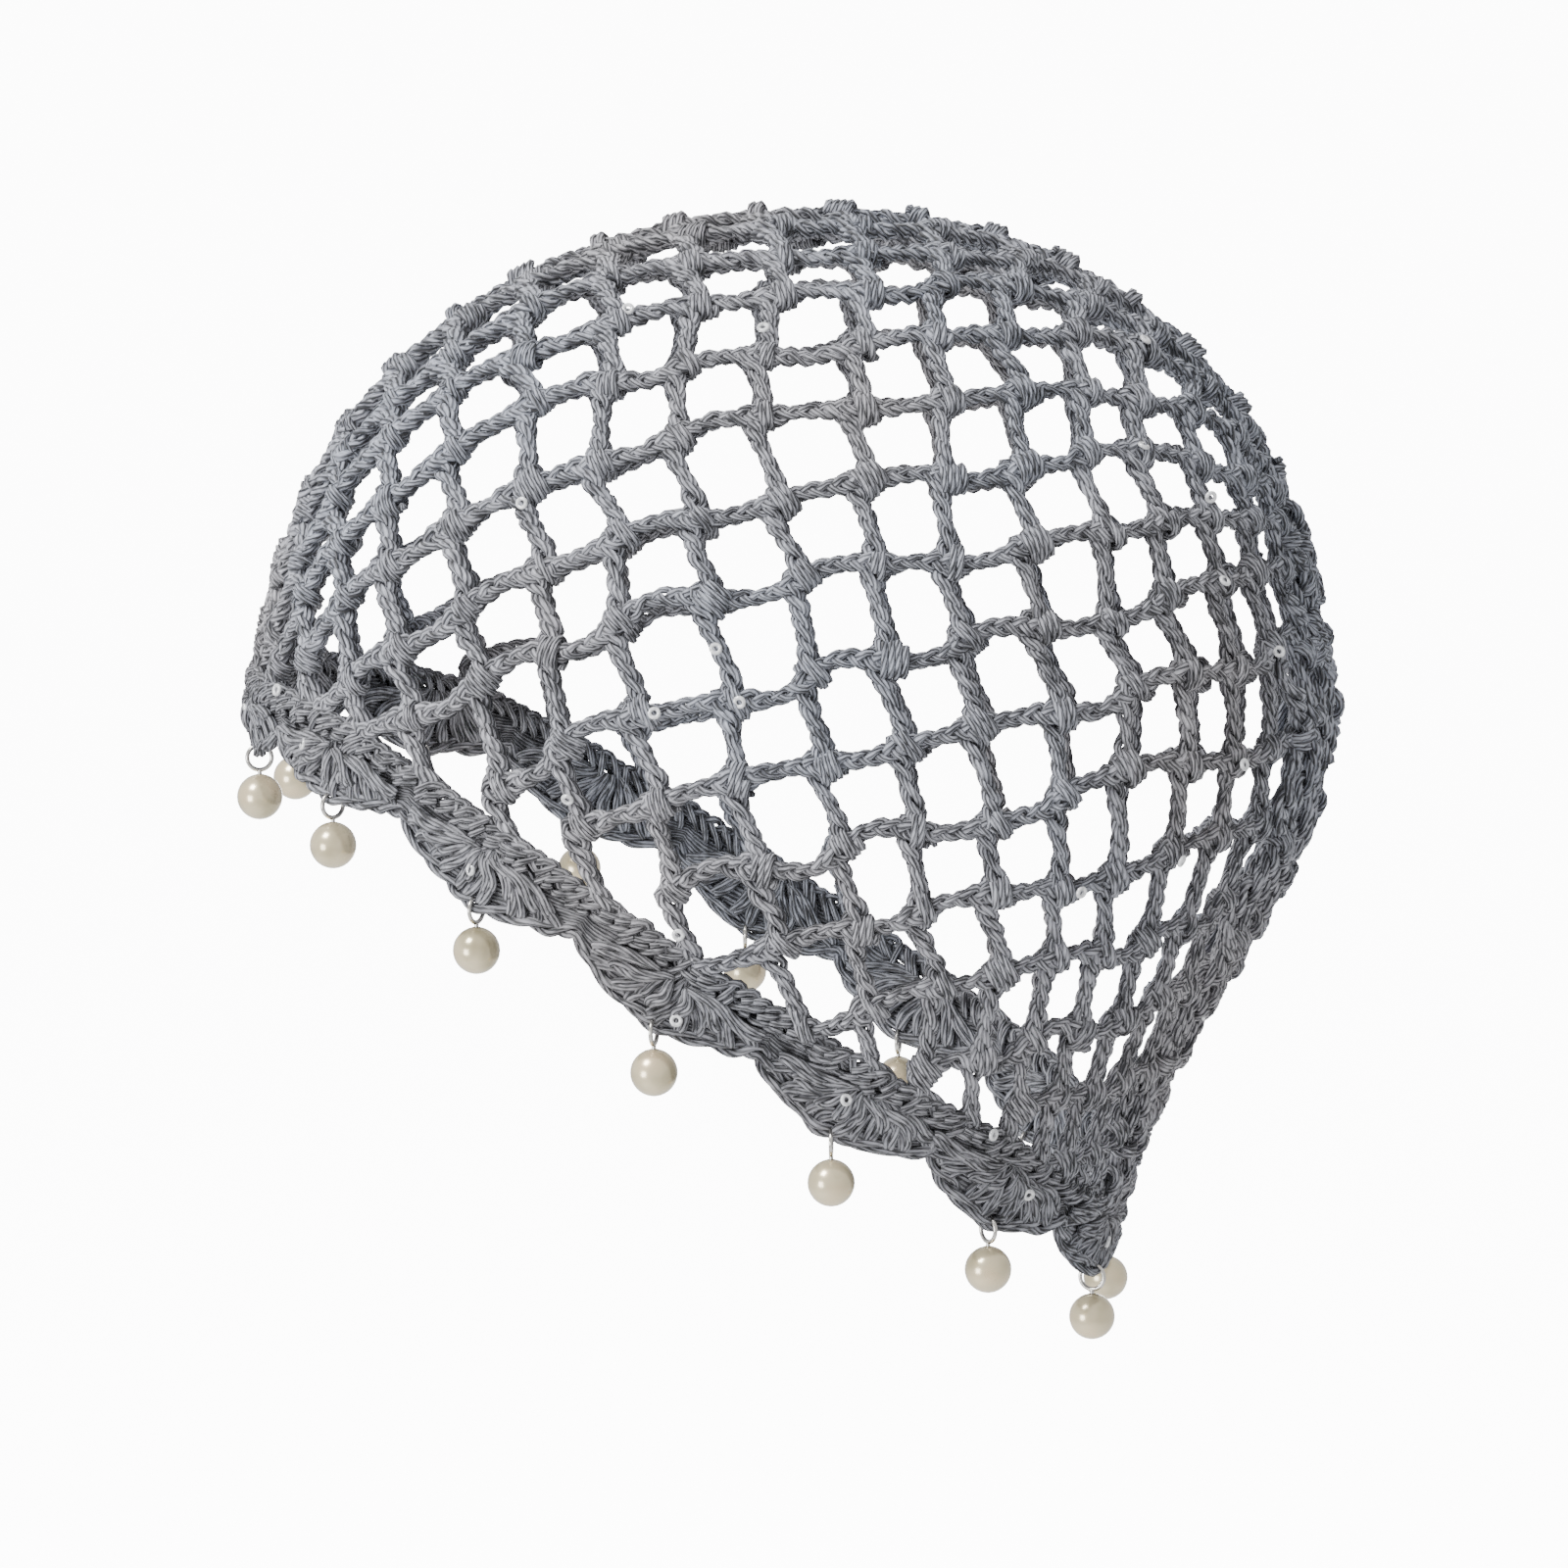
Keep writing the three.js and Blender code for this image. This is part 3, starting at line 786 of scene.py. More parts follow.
def rows_above_edge(side, c):
    """How many rows the net has above its edge along a column."""
    j = np.linspace(0, ROW_COUNT + 2, 300)
    p = worked_point(side, np.full_like(j, c), j)
    inside = np.flatnonzero(p[:, 2] > rim_height(p[:, 1]))
    return j[inside[-1]] if len(inside) else 0.0


def row_start(side, row):
    """The first column that a row is joined to, where the net has enough room above the border."""
    for gap in range(-4, 15):
        if rows_above_edge(side, gap) - row > ROOM_BELOW:
            return gap - 0.5
    return None


def fullness(c, j):
    """How much thicker the strands are: towards the brow, and along the middle of the crown."""
    return 1 + 0.22 * np.clip((5 - c) / 4, 0, 1) + 0.24 * np.clip((4 - j + lost_rows(c)) / 3, 0, 1)


def strand_path(side, c, j):
    """A strand's path through net coordinates, cut at the net's edge and the middle line.

    The column and row at each of its points come with it.
    """
    there = worked_place(side, c, j)
    p = net_point(*there)
    inside = (p[:, 2] > rim_height(p[:, 1]) + 0.5) & (p[:, 0] > 0.3) & (there[1] >= lost_rows(there[0]))
    if not inside.any():
        return None
    runs = np.flatnonzero(np.diff(np.concatenate([[0], inside.astype(int), [0]])))
    starts, ends = runs[::2], runs[1::2]
    longest = np.argmax(ends - starts)
    a, b = max(starts[longest] - 1, 0), min(ends[longest] + 1, len(p))
    path = np.column_stack([p, c, j])[a:b]
    path[:, 0] = np.maximum(path[:, 0], 0)
    if len(path) < 12:
        return None
    path, place = evenly(path)
    return path * [SIDES[side], 1, 1], place.T


class CAP_OT_net_rows(bpy.types.Operator):
    """Braids the net's rows, from the brow round to the back of the head"""

    bl_idname = "cap.net_rows"
    bl_label = "Net rows"

    def execute(self, context):
        radius = ply_radius(context)
        half_width = context.scene.cap_sizes.row_width / MM / 2 - radius
        for number, side in enumerate(SIDES):
            yarn = Yarn(100 + number)
            for row in range(1, ROW_COUNT + 1):
                first = row_start(side, row)
                if first is None:
                    continue
                c = np.linspace(first, BACK_COLUMN + 2, 1200)
                strand = strand_path(side, c, 0 * c + row)
                if strand:
                    path, (c, j) = strand
                    full = fullness(c, j) * (1.03 + ROW_SWELL * np.cos(2 * np.pi * (c - 0.5)))
                    phase, lift = yarn.draw.uniform(), ROW_LIFT - sunk(path)
                    yarn.braid(path, half_width * full, 0.5, radius * full, ROW_PITCH, phase, lift)
            yarn.piece("net_rows_" + side, "net yarn", "net_crown")
        return {"FINISHED"}


class CAP_OT_net_columns(bpy.types.Operator):
    """Twists the net's columns, from the middle of the crown down to the border"""

    bl_idname = "cap.net_columns"
    bl_label = "Net columns"

    def execute(self, context):
        radius = ply_radius(context)
        half_width = context.scene.cap_sizes.column_width / MM / 2 - radius
        for number, side in enumerate(SIDES):
            yarn = Yarn(200 + number)
            for column in COLUMN_STARTS:
                j = np.linspace(-2, ROW_COUNT + 1.5, 1300)
                jog = (j + 0.05) % 1
                c = column + JOG * (jog - 0.5) * np.minimum(1, (1 - jog) / 0.18)
                strand = strand_path(side, c, j)
                if strand:
                    path, (c, j) = strand
                    full = fullness(c, j)
                    swell = full * (1.10 + COLUMN_SWELL * np.cos(2 * np.pi * j))
                    phase, lift = yarn.draw.uniform(), COLUMN_LIFT - sunk(path)
                    yarn.cord(path, half_width, radius * full, COLUMN_PITCH, phase, lift, swell=swell)
                    self.foot(yarn, path, radius)
            yarn.piece("net_columns_" + side, "net yarn", "net_crown")
        return {"FINISHED"}

    def foot(self, yarn, path, radius):
        """Yarn that rounds the corners between a column's foot and the border."""
        share = RIM_SHARE[np.argmin(np.sum((RIM - path[-1]) ** 2, axis=1))]
        high = path[max(len(path) - 9, 0)]
        for way in (-1, 1):
            reach = yarn.draw.uniform(4.5, 6.5) * way / RIM_LENGTH
            low = border_point(share + reach, -0.6)
            turn = path[-1] + (high - path[-1]) * 0.25
            t = np.linspace(0, 1, 12)[:, None]
            curve = high * (1 - t) ** 2 + 2 * turn * t * (1 - t) + low * t**2
            yarn.cord(curve, 0.55, radius * 0.9, 9.0, yarn.draw.uniform(), 0.1, plies=2)


def middle_path():
    """The strand where the two halves of the net meet, from the brow over the crown to the nape."""
    c = np.linspace(-4.6, BACK_COLUMN, 900)
    over = net_point(c, lost_rows(c))
    j = np.linspace(equator_row(BACK_COLUMN), ROW_COUNT + 2, 500)
    down = net_point(np.full_like(j, BACK_COLUMN), j)
    path = np.vstack([over, down[1:]]) * [0, 1, 1]
    return evenly(path[path[:, 2] > rim_height(path[:, 1]) + 0.5])[0]


class CAP_OT_net_middle(bpy.types.Operator):
    """Braids the strand along the middle of the crown and down the back"""

    bl_idname = "cap.net_middle"
    bl_label = "Middle strand"

    def execute(self, context):
        yarn = Yarn(300)
        radius = ply_radius(context)
        path = middle_path()
        lift = MIDDLE_LIFT - sunk(path)
        yarn.braid(path, 1.7, 0.8, radius * 1.08, MIDDLE_PITCH, phase=0.0, lift=lift)
        for column in COLUMN_STARTS[:-3]:
            crossing = net_point(column, lost_rows(column)) * [0, 1, 1]
            k = np.clip(np.argmin(np.sum((path - crossing) ** 2, axis=1)), 1, len(path) - 2)
            normal, axis = form_normal(path[k]), unit(path[k + 1] - path[k - 1])
            centre = path[k] + normal * (0.5 - sunk(path[k]))
            yarn.wrap(yarn.draw, MIDDLE_WRAP, centre, axis, normal, radius * 0.95)
        yarn.piece("net_middle", "net yarn", "net_crown")
        return {"FINISHED"}


def crossings(side):
    """Each crossing of a row and a column that lies within the net, with the ways along them."""
    mirror = np.array([SIDES[side], 1, 1])
    for column in COLUMN_STARTS:
        for row in range(1, ROW_COUNT + 1):
            there = worked_place(side, column, row)
            p = net_point(*there)
            if lost_rows(there[0]) > there[1] - 0.35 or p[2] < rim_height(p[1]) + 1.5 or p[0] < 1.5:
                continue
            along = worked_point(side, column + 0.12, row) - p
            down = worked_point(side, column, row + 0.12) - p
            yield p * mirror, unit(along * mirror), unit(down * mirror)


class CAP_OT_knots(bpy.types.Operator):
    """Wraps each crossing of the net with a few turns of yarn"""

    bl_idname = "cap.knots"
    bl_label = "Knots"

    def execute(self, context):
        radius = 0.88 * ply_radius(context)
        for number, side in enumerate(SIDES):
            yarn = Yarn(400 + number)
            draw = np.random.default_rng(410 + number)
            for place, along, down in crossings(side):
                normal = form_normal(place)
                lean = draw.normal(0, 0.22) - 0.35
                axis = unit(along * math.cos(lean) + down * math.sin(lean))
                centre = place + along * draw.uniform(0.6, 1.9) + down * draw.uniform(-0.4, 0.5)
                centre = centre + normal * (0.1 - sunk(place))
                yarn.wrap(draw, KNOT, centre, axis, normal, radius)
            yarn.piece("net_knots_" + side, "net yarn", "net_crown")
        return {"FINISHED"}


class CAP_OT_gathers(bpy.types.Operator):
    """Draws the back of the net together with folds of thick yarn above the nape"""

    bl_idname = "cap.gathers"
    bl_label = "Gathers"

    def execute(self, context):
        radius = ply_radius(context)
        yarn = Yarn(450)
        draw = np.random.default_rng(451)
        for side in SIDES.values():
            for from_middle in FOLDS:
                self.fold(yarn, draw, radius, side, from_middle)
            for _ in range(FOLD_WRAPS):
                self.wrap_fold(yarn, draw, radius, side)
        yarn.piece("nape_gathers", "net yarn", "net_crown")
        return {"FINISHED"}

    def fold(self, yarn, draw, radius, side, from_middle):
        """A thick cord that winds down the back, so many columns from the middle line."""
        j = np.linspace(draw.uniform(4.6, 5.6) + 2.0 * from_middle, 18, 700)
        wave = np.sin(2 * np.pi * (j * draw.uniform(0.7, 1.0) + draw.uniform()))
        p = net_point(BACK_COLUMN - from_middle + 0.2 * wave, j)
        inside = (p[:, 2] > rim_height(p[:, 1]) - 0.5) & (p[:, 0] > 0.3)
        path, _ = evenly(p[inside] * [side, 1, 1], 0.9)
        out = np.sin(np.linspace(0, len(path) * 0.33, len(path)) + draw.uniform(0, 6))
        lift, swell = 0.5 + 0.7 * out, 1 + 0.25 * out
        phase = draw.uniform()
        yarn.cord(path, 1.15, radius * 1.15, FOLD_PITCH, phase, lift, swell=swell, drifting=0.35)

    def wrap_fold(self, yarn, draw, radius, side):
        """A few turns of yarn round a fold, at a random place and angle."""
        row = draw.uniform(6, 16.5)
        from_middle = draw.uniform(0.1, np.clip(0.45 * row - 2.1, 0.8, 2.3))
        p = net_point(BACK_COLUMN - from_middle, row)
        if p[2] < rim_height(p[1]) + 2 or p[0] < 0.3:
            return
        p = p * [side, 1, 1]
        normal = form_normal(p)
        axis = unit(np.cross(normal, unit(draw.normal(0, 1, 3))))
        yarn.wrap(draw, FOLD_WRAP, p + normal * 0.7, axis, normal, radius)


# The border


# How many steps a loop of the border has, outside and inside, and how far it ends from the scallop's edge.
LOOP_STEPS, INNER_LOOP_STEPS = 20, 14
LOOP_ENDS, INNER_LOOP_END = (1.3, 4.2), 1.6
# All round the border: the points of its chains, the wraps over the upper one and the corners of its wall.
CHAIN_POINTS, WRAPS, WALL_CORNERS = 720, SCALLOPS * 15, SCALLOPS * 16
# The share of the border's depth at each line of the wall's corners, and half the wall's thickness.
WALL_LINES, HALF_WALL = (0.08, 0.36, 0.64, 0.9), 0.3


class CAP_OT_border(bpy.types.Operator):
    """Works the shells of the border, its two edge chains and its close inner wall"""

    bl_idname = "cap.border"
    bl_label = "Shell border"

    def execute(self, context):
        radius = ply_radius(context)
        posts = context.scene.cap_sizes.posts
        self.shells(radius, posts)
        self.inner_shells(radius, posts - 2)
        self.chains(radius)
        self.wall(context)
        return {"FINISHED"}

    def shells(self, radius, posts):
        """Two layers of long loops that spread from the top of each scallop to its edge."""
        yarn = Yarn(500)
        draw = np.random.default_rng(510)
        t = np.linspace(0, 1, LOOP_STEPS + 1)
        for scallop in range(SCALLOPS):
            middle = (scallop + 0.5 + draw.normal(0, 0.03)) / SCALLOPS
            for layer, count in ((0, posts), (1, posts - 3)):
                for post in range(count):
                    spread = (post + 0.5 + draw.normal(0, 0.2)) / count * 2 - 1
                    foot = 0.08 * spread + draw.normal(0, 0.025)
                    run = t * (1 - 0.3 * abs(spread) * (1 - t))
                    line = self.fan_line(middle, spread, foot, t, run, 1.4 + 1.2 * layer, LOOP_ENDS[layer])
                    self.loop(yarn, draw, line, t, radius, layer)
        yarn.piece("border_shells", "shell yarn", "shell_border")

    def inner_shells(self, radius, posts):
        """One layer of the same loops on the border's inner face, flatter than outside."""
        yarn = Yarn(530)
        draw = np.random.default_rng(531)
        t = np.linspace(0, 1, INNER_LOOP_STEPS + 1)
        for scallop in range(SCALLOPS):
            for post in range(posts):
                spread = (post + 0.5 + draw.normal(0, 0.12)) / posts * 2 - 1
                middle = (scallop + 0.5) / SCALLOPS
                line = self.fan_line(middle, spread, 0.1 * spread, t, t, 1.2, INNER_LOOP_END)
                self.loop(yarn, draw, line, t, radius, -2)
        yarn.piece("border_inner_shells", "shell yarn", "shell_border")

    def fan_line(self, middle, spread, foot, t, run, top, end):
        """The points down a loop of a fan, from its foot near the fan's middle to its place at the edge."""
        share, foot = middle + 0.49 * spread / SCALLOPS, middle + foot / SCALLOPS
        edge = yarn_edge(share) - end
        return border_point(foot + (share - foot) * (1 - (1 - t) ** 1.25), top + (edge - top) * run)

    def loop(self, yarn, draw, line, t, radius, layer):
        """Two strands that start together, lie side by side and meet again at the edge."""
        normal = form_normal(line)
        side = np.cross(unit(np.gradient(line, axis=0)), normal)
        open_by = (0.25 + 0.75 * t) * np.sqrt(np.sin(np.pi * (0.04 + 0.93 * t)))
        open_by = open_by * radius * draw.uniform(0.95, 1.2)
        bulge = 0.55 if layer >= 0 else -0.4
        lift = (0.35 + 0.75 * layer) + bulge * np.sin(np.pi * t) + draw.uniform(-0.25, 0.45)
        curl = 0.55 * np.sin(np.pi * (t * draw.uniform(1.2, 2.4) + draw.uniform()))
        thick = radius * 0.9 * (0.6 + 0.4 * np.sqrt(np.clip(t * 3, 0, 1)))
        for hand in (-1, 1):
            path = line + side * (hand * open_by + curl)[:, None]
            path = path + normal * (lift + hand * 0.25 * np.sin(2 * np.pi * t + layer))[:, None]
            yarn.tube(path, thick, normal, 6)

    def chains(self, radius):
        """The cords along the border's two edges, with slanting wraps over the upper one."""
        yarn = Yarn(520)
        draw = np.random.default_rng(521)
        share = np.linspace(0, 1, CHAIN_POINTS + 1)[:-1]
        upper = border_point(share, np.full_like(share, -0.9))
        edge = border_point(share, yarn_edge(share) - 0.9)
        upper, edge = (evenly(np.vstack([line, line[:2]]))[0] for line in (upper, edge))
        yarn.braid(upper, 1.35, 0.45, radius, 8.0, draw.uniform(), 0.2)
        yarn.cord(edge, 0.95, radius * 0.95, 17.0, draw.uniform(), 0.1)
        for k in range(WRAPS):
            share = (k + draw.uniform(-0.3, 0.3)) / WRAPS
            place = border_point(share, 0.2 + draw.uniform(-0.4, 0.4))
            normal, axis = form_normal(place), unit(border_point(share + 0.002, 0.9) - place)
            lean = draw.normal(0.35, 0.2)
            axis = unit(axis * math.cos(lean) + np.cross(axis, normal) * math.sin(lean))
            phase = draw.uniform(-0.1, 0.1) + 0.75
            yarn.coil(place, axis, normal, 1.15, 1.1, 2.45, 1.6, radius * 0.8, phase)
        yarn.piece("border_chains", "shell yarn", "shell_border")

    def wall(self, context):
        """The felted middle of the border, a thin sheet between its outer and inner shells."""
        share = np.arange(WALL_CORNERS) / WALL_CORNERS
        lines = np.stack([border_point(share, scallop_depth(share) * line) for line in WALL_LINES])
        out = HALF_WALL * form_normal(lines)
        rings = np.vstack([lines + out, (lines - out)[::-1]])
        faces = []
        for i in range(len(rings)):
            for k in range(WALL_CORNERS):
                after, below = (k + 1) % WALL_CORNERS, (i + 1) % len(rings)
                corners = (i, k), (below, k), (below, after), (i, after)
                faces.append([ring * WALL_CORNERS + n for ring, n in corners])
        mesh = bpy.data.meshes.new("border_inner_wall")
        mesh.from_pydata(to_part(rings).reshape(-1, 3).tolist(), [], faces)
        ring, k = divmod(np.array([loop.vertex_index for loop in mesh.loops]), WALL_CORNERS)
        uvs = np.stack([ring * 0.7, k * 0.21], -1).astype(np.float32)
        mesh.uv_layers.new(name="UVMap").data.foreach_set("uv", uvs.ravel())
        clear_selection()
        made = new_object(mesh, "shell yarn")
        made.select_set(True)
        context.view_layer.objects.active = made
        face_outward()
        finish_piece(made, "yarn", "shell_border")


# Drops and beads


def eyelets():
    """Each scallop's eyelet and the level direction through it, in the part's frame."""
    share = (np.arange(SCALLOPS) + 0.5) / SCALLOPS
    p = border_point(share, np.full(SCALLOPS, TIP - EYELET_ABOVE_TIP))
    level = turn_to_part(form_normal(p)) * [1, 1, 0]
    return to_part(p), unit(level)


def stand_in_place(model, name, matrix):
    """A copy of a model as a piece of its own, at its place in the mesh itself."""
    made = model.copy()
    made.data = model.data.copy()
    made.data.transform(matrix)
    made.name = made.data.name = name
    bpy.context.collection.objects.link(made)
    return made


def apply_placing():
    bpy.ops.object.transform_apply(location=True, rotation=True, scale=True)


class CAP_OT_drops(bpy.types.Operator):
    """Hangs a drilled pearl on a wire loop from each scallop's eyelet"""

    bl_idname = "cap.drops"
    bl_label = "Pearl drops"

    def execute(self, context):
        pearl, wire = self.pearl(context), self.wire(context)
        places, levels = eyelets()
        for number, (place, level) in enumerate(zip(places, levels), 1):
            turn = Matrix.Rotation(math.atan2(level[1], level[0]), 4, "Z")
            matrix = Matrix.Translation(place.tolist()) @ turn
            label = f"{number:02d}"
            finish_piece(stand_in_place(pearl, "pearl_drop_" + label, matrix), "pearl", "pearl_" + label)
            finish_piece(stand_in_place(wire, "drop_wire_" + label, matrix), "wire", "wire_loop_" + label)
        for model in (pearl, wire):
            bpy.data.objects.remove(model)
        return {"FINISHED"}

    def pearl(self, context):
        """A ball with a half-deep bore in its top."""
        clear_selection()
        bpy.ops.mesh.primitive_uv_sphere_add(
            segments=32, ring_count=18, radius=PEARL_RADIUS * MM, location=(0, 0, PEARL_MIDDLE * MM)
        )
        apply_placing()
        made = context.object
        bpy.ops.object.mode_set(mode="EDIT")
        bpy.ops.mesh.select_mode(type="VERT")
        bpy.ops.mesh.select_all(action="DESELECT")
        bpy.ops.object.mode_set(mode="OBJECT")
        max(made.data.vertices, key=lambda vertex: vertex.co.z).select = True
        bpy.ops.object.mode_set(mode="EDIT")
        bpy.ops.mesh.delete(type="VERT")
        bpy.ops.mesh.select_all(action="DESELECT")
        bpy.ops.mesh.select_non_manifold()
        bpy.ops.mesh.extrude_region_move(TRANSFORM_OT_translate={"value": (0, 0, -BORE_DEPTH * MM)})
        bpy.ops.mesh.edge_face_add()
        face_outward()
        bpy.ops.object.shade_smooth_by_angle(angle=math.radians(50))
        made.data.materials.append(material("pearl coating"))
        return made

    def wire(self, context):
        """A closed loop with a straight shank that ends inside the pearl."""
        clear_selection()
        bpy.ops.mesh.primitive_torus_add(
            major_segments=40,
            minor_segments=10,
            major_radius=LOOP_RADIUS * MM,
            minor_radius=WIRE_RADIUS * MM,
            location=(0, 0, -LOOP_RADIUS * MM),
            rotation=(math.pi / 2, 0, 0),
        )
        loop = context.object
        top, bottom = -2 * LOOP_RADIUS, PEARL_MIDDLE + PEARL_RADIUS - BORE_DEPTH + SHANK_OVER_FLOOR
        length, middle = (top - bottom) * MM, (top + bottom) / 2 * MM
        bpy.ops.mesh.primitive_cylinder_add(
            vertices=14, radius=WIRE_RADIUS * MM, depth=length, location=(0, 0, middle)
        )
        loop.select_set(True)
        context.view_layer.objects.active = loop
        bpy.ops.object.join()
        apply_placing()
        bpy.ops.object.shade_smooth_by_angle(angle=math.radians(40))
        loop.data.materials.append(material("silver wire"))
        return loop


# The radius of a bead's ring and of the glass round it.
BEAD_RING, BEAD_GLASS = 0.78 * MM, 0.36 * MM
# How high a bead's middle lies over the form, on the net and on the border.
BEAD_ON_NET, BEAD_ON_BORDER = 2.25, 2.4
# The beads sewn at random on the wearer's right and at the back of the left half: columns, rows and
# how many.
CHANCE_BEADS = (("right", (-3, 14), (2, 14), 22), ("left", (9, 14), (4, 13), 6))
# Where the others are sewn on the wearer's left: column and row of the net.
BEADS = (
    {"column": 2.6, "row": 5.2},
    {"column": -1.9, "row": 5.0},
    {"column": 3.7, "row": 7.9},
    {"column": 4.6, "row": 8.1},
    {"column": 4.5, "row": 7.5},
    {"column": 2.5, "row": 8.6},
    {"column": 3.2, "row": 10.5},
    {"column": 4.0, "row": 12.2},
    {"column": 5.6, "row": 3.7},
    {"column": 3.7, "row": 2.9},
    {"column": 11.4, "row": 6.7},
    {"column": 8.9, "row": 10.6},
    {"column": 8.0, "row": 14.1},
    {"column": 13.2, "row": 13.4},
)


class CAP_OT_seed_beads(bpy.types.Operator):
    """Sews small silver-lined beads on the net and the border"""

    bl_idname = "cap.seed_beads"
    bl_label = "Seed beads"

    def execute(self, context):
        clear_selection()
        bpy.ops.mesh.primitive_torus_add(
            major_segments=14, minor_segments=8, major_radius=BEAD_RING, minor_radius=BEAD_GLASS
        )
        model = context.object
        draw = np.random.default_rng(700)
        verts, faces = [], []
        shape = np.array([v.co[:] for v in model.data.vertices])
        polygons = [list(p.vertices) for p in model.data.polygons]
        for place, out in self.places(draw):
            matrix = Vector(out.tolist()).to_track_quat("Z", "Y").to_matrix()
            for axis in "XY":
                matrix = matrix @ Matrix.Rotation(draw.normal(0, 0.3), 3, axis)
            faces += [[len(verts) * len(shape) + k for k in p] for p in polygons]
            verts.append(shape @ np.array(matrix).T + place)
        mesh = bpy.data.meshes.new("seed_beads")
        mesh.from_pydata(np.vstack(verts).tolist(), [], faces)
        bpy.data.objects.remove(model)
        finish_piece(new_object(mesh, "silver-lined glass"), "wire")
        return {"FINISHED"}

    def places(self, draw):
        """Each bead's middle and the way out of the form there, in the part's frame."""
        rows = [("left", bead["column"], bead["row"]) for bead in BEADS]
        for side, across, down, count in CHANCE_BEADS:
            rows += [(side, draw.integers(*across) + 0.5, float(draw.integers(*down))) for _ in range(count)]
        for side, c, j in rows:
            column, row = math.floor(c) + 0.5, float(round(j))
            if abs(c - column) < abs(j - row):
                c = column
            else:
                j = row
            p = worked_point(side, c, j)
            if p[2] > rim_height(p[1]) and p[0] > 1 and j > lost_rows(c):
                yield self.on_yarn(p * [SIDES[side], 1, 1], BEAD_ON_NET)
        for k in range(SCALLOPS):
            share = (k + 0.5 + draw.normal(0, 0.12)) / SCALLOPS
            yield self.on_yarn(border_point(share, draw.uniform(4, 9)), BEAD_ON_BORDER)

    def on_yarn(self, p, lift):
        normal = form_normal(p)
        return to_part(p + normal * lift), turn_to_part(normal)


# The stage


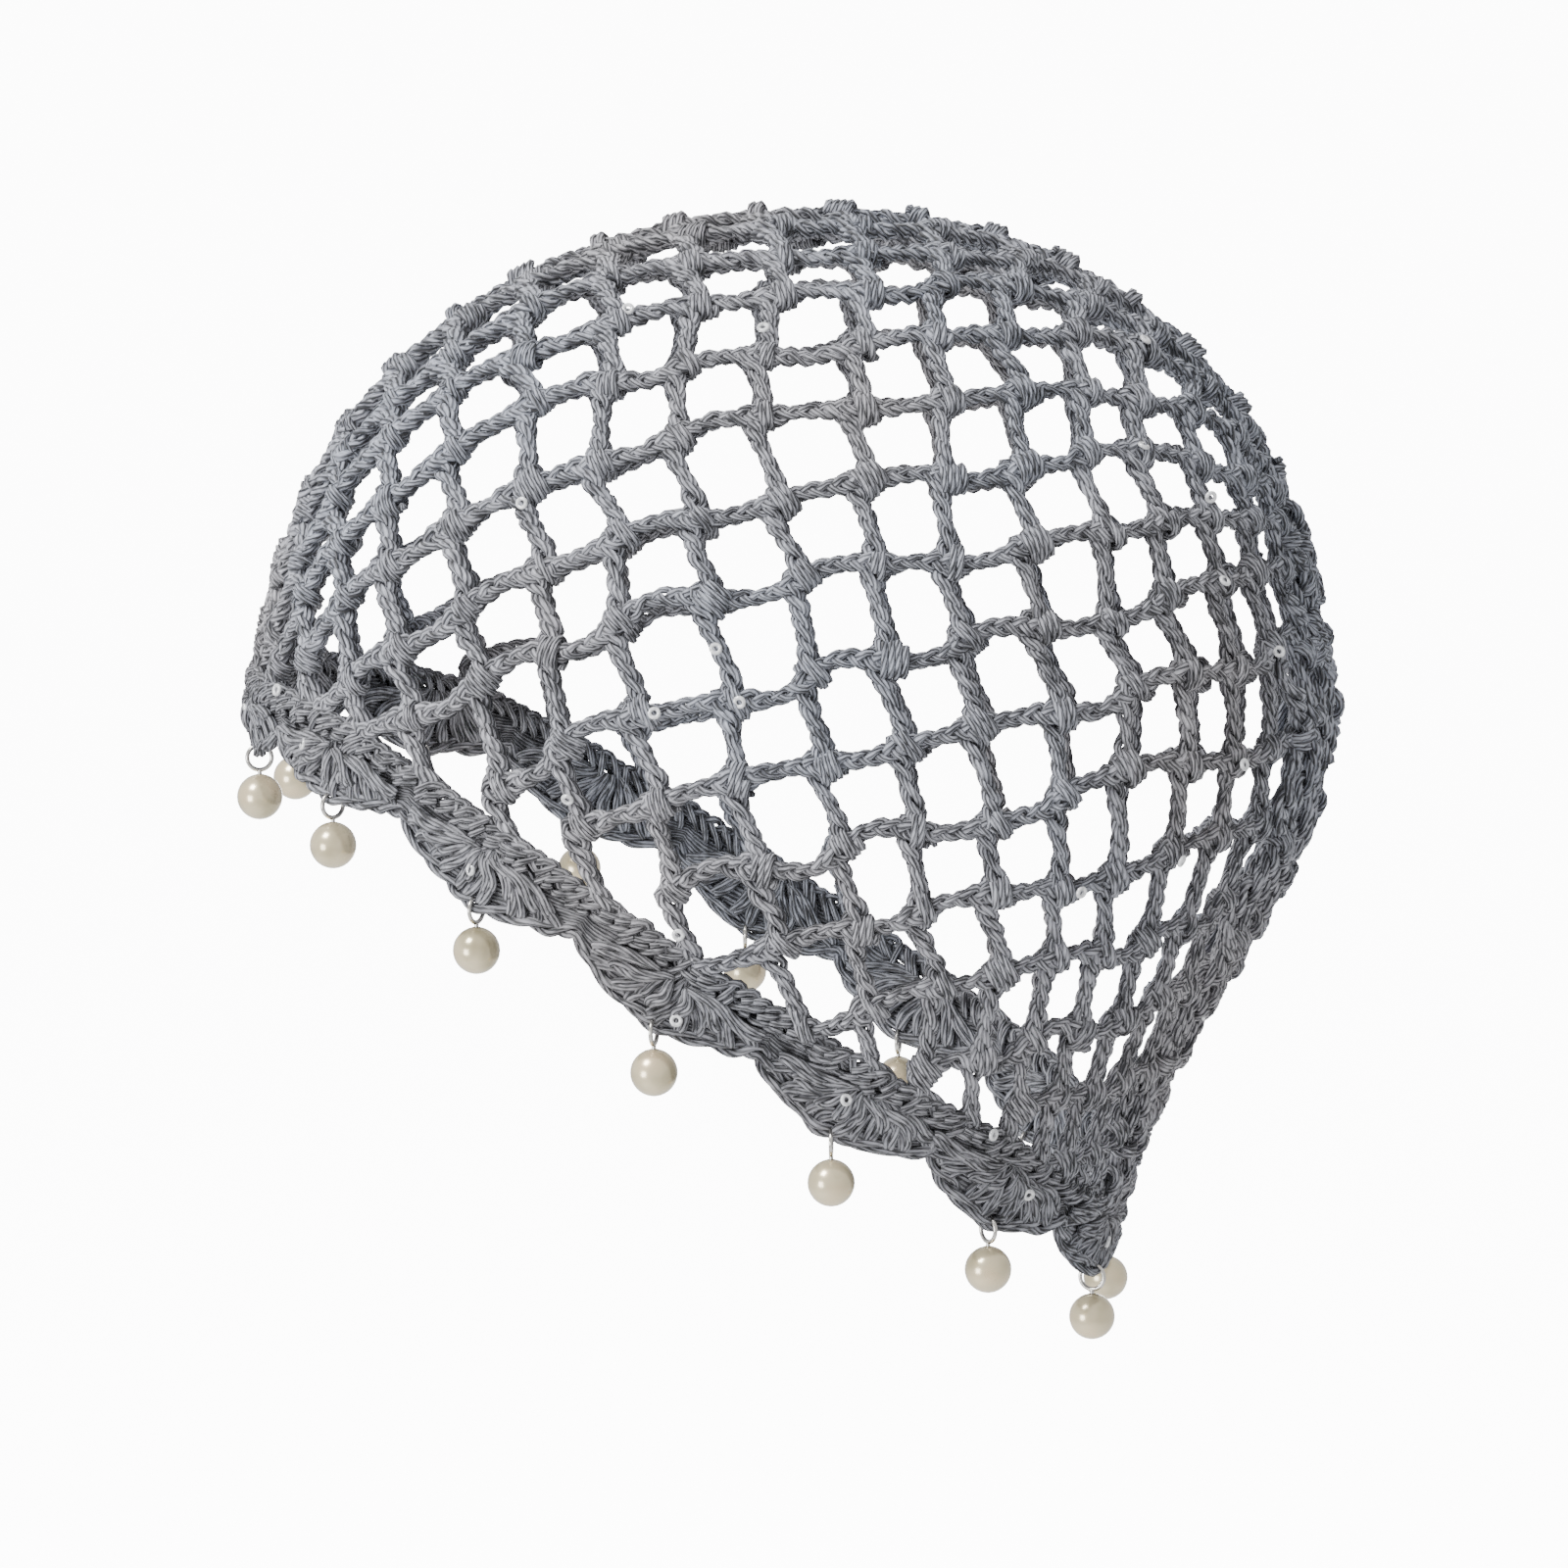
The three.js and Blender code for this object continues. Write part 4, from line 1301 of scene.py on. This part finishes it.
class CAP_OT_stage(bpy.types.Operator):
    """Sets the pale floor and backdrop, the soft lights and the camera"""

    bl_idname = "cap.stage"
    bl_label = "Stage"

    def execute(self, context):
        stage = context.scene.cap_stage
        self.backdrop(context, stage)
        self.lights(context, stage)
        self.camera(context, stage)
        return {"FINISHED"}

    def backdrop(self, context, stage):
        """A pale floor, and a sheet of white paper behind the cap that fills the view."""
        back, _, _ = view_axes(stage.azimuth, stage.elevation)
        facing = back.to_track_quat("Z", "Y").to_euler()
        width = 0.28 * (stage.behind + stage.distance)
        for name, size, place, turn, glow in (
            ("floor", 9, (0, 0, stage.floor), (0, 0, 0), 0.0),
            ("backdrop", width, FORM_MIDDLE - back * stage.behind, facing, stage.glow),
        ):
            clear_selection()
            bpy.ops.mesh.primitive_grid_add(
                x_subdivisions=2, y_subdivisions=2, size=size, location=place, rotation=turn
            )
            apply_placing()
            made = context.object
            made.name = name
            paper = Finish("pale paper of the " + name)
            grain = paper.noise_here(3.0, 1.0)
            paper.set(Base_Color=(0.9, 0.9, 0.9, 1), Roughness=(grain - 0.5) * 0.05 + 0.9)
            paper.set(Emission_Color=(1, 1, 1, 1), Emission_Strength=glow)
            made.data.materials.append(paper.material)
        world = bpy.data.worlds.new("studio")
        context.scene.world = world
        world.use_nodes = True
        world.node_tree.nodes["Background"].inputs[0].default_value = (1, 1, 1, 1)
        world.node_tree.nodes["Background"].inputs[1].default_value = stage.sky

    def lights(self, context, stage):
        back, right, up = view_axes(stage.azimuth, stage.elevation)
        for name, power, size, place in (
            ("key light", stage.key, 0.5, back * 0.75 - right * 0.85 + up * 1.05),
            ("low light", stage.low_light, 0.45, back * 0.78 - right * 0.92 - up * 0.2),
        ):
            light = bpy.data.lights.new(name, "AREA")
            light.energy = power
            light.size = size
            lamp = bpy.data.objects.new(name, light)
            lamp.location = FORM_MIDDLE + place
            lamp.rotation_euler = (-place).to_track_quat("-Z", "Y").to_euler()
            context.collection.objects.link(lamp)

    def camera(self, context, stage):
        back, right, up = view_axes(stage.azimuth, stage.elevation)
        data = bpy.data.cameras.new("camera")
        data.lens = stage.lens
        data.clip_start = 0.01
        camera = bpy.data.objects.new("camera", data)
        context.collection.objects.link(camera)
        camera.matrix_world = (
            Matrix.Translation(FORM_MIDDLE + back * stage.distance - up * stage.lower)
            @ Matrix((right, up, back)).transposed().to_4x4()
        )
        context.scene.camera = camera


STEPS = (
    CAP_OT_stage,
    CAP_OT_net_rows,
    CAP_OT_net_columns,
    CAP_OT_net_middle,
    CAP_OT_knots,
    CAP_OT_gathers,
    CAP_OT_border,
    CAP_OT_drops,
    CAP_OT_seed_beads,
)


class CAP_PT_panel(bpy.types.Panel):
    """Lists the cap's pieces"""

    bl_idname = "CAP_PT_panel"
    bl_label = "Crocheted cap"
    bl_space_type = "VIEW_3D"
    bl_region_type = "UI"
    bl_category = "Cap"

    def draw(self, context):
        for group in (context.scene.cap_sizes, context.scene.cap_colours, context.scene.cap_stage):
            for name in group.bl_rna.properties.keys():
                if name not in ("rna_type", "name"):
                    self.layout.prop(group, name)
        for step in STEPS:
            self.layout.operator(step.bl_idname)


CLASSES = (CapSizes, CapColours, StageSettings, *STEPS, CAP_PT_panel)


def register():
    for cls in CLASSES:
        bpy.utils.register_class(cls)
    bpy.types.Scene.cap_sizes = bpy.props.PointerProperty(type=CapSizes)
    bpy.types.Scene.cap_colours = bpy.props.PointerProperty(type=CapColours)
    bpy.types.Scene.cap_stage = bpy.props.PointerProperty(type=StageSettings)


def unregister():
    for name in ("cap_sizes", "cap_colours", "cap_stage"):
        delattr(bpy.types.Scene, name)
    for cls in reversed(CLASSES):
        bpy.utils.unregister_class(cls)


def main():
    register()
    for step in STEPS:
        group, name = step.bl_idname.split(".")
        getattr(getattr(bpy.ops, group), name)()


if __name__ == "__main__":
    main()
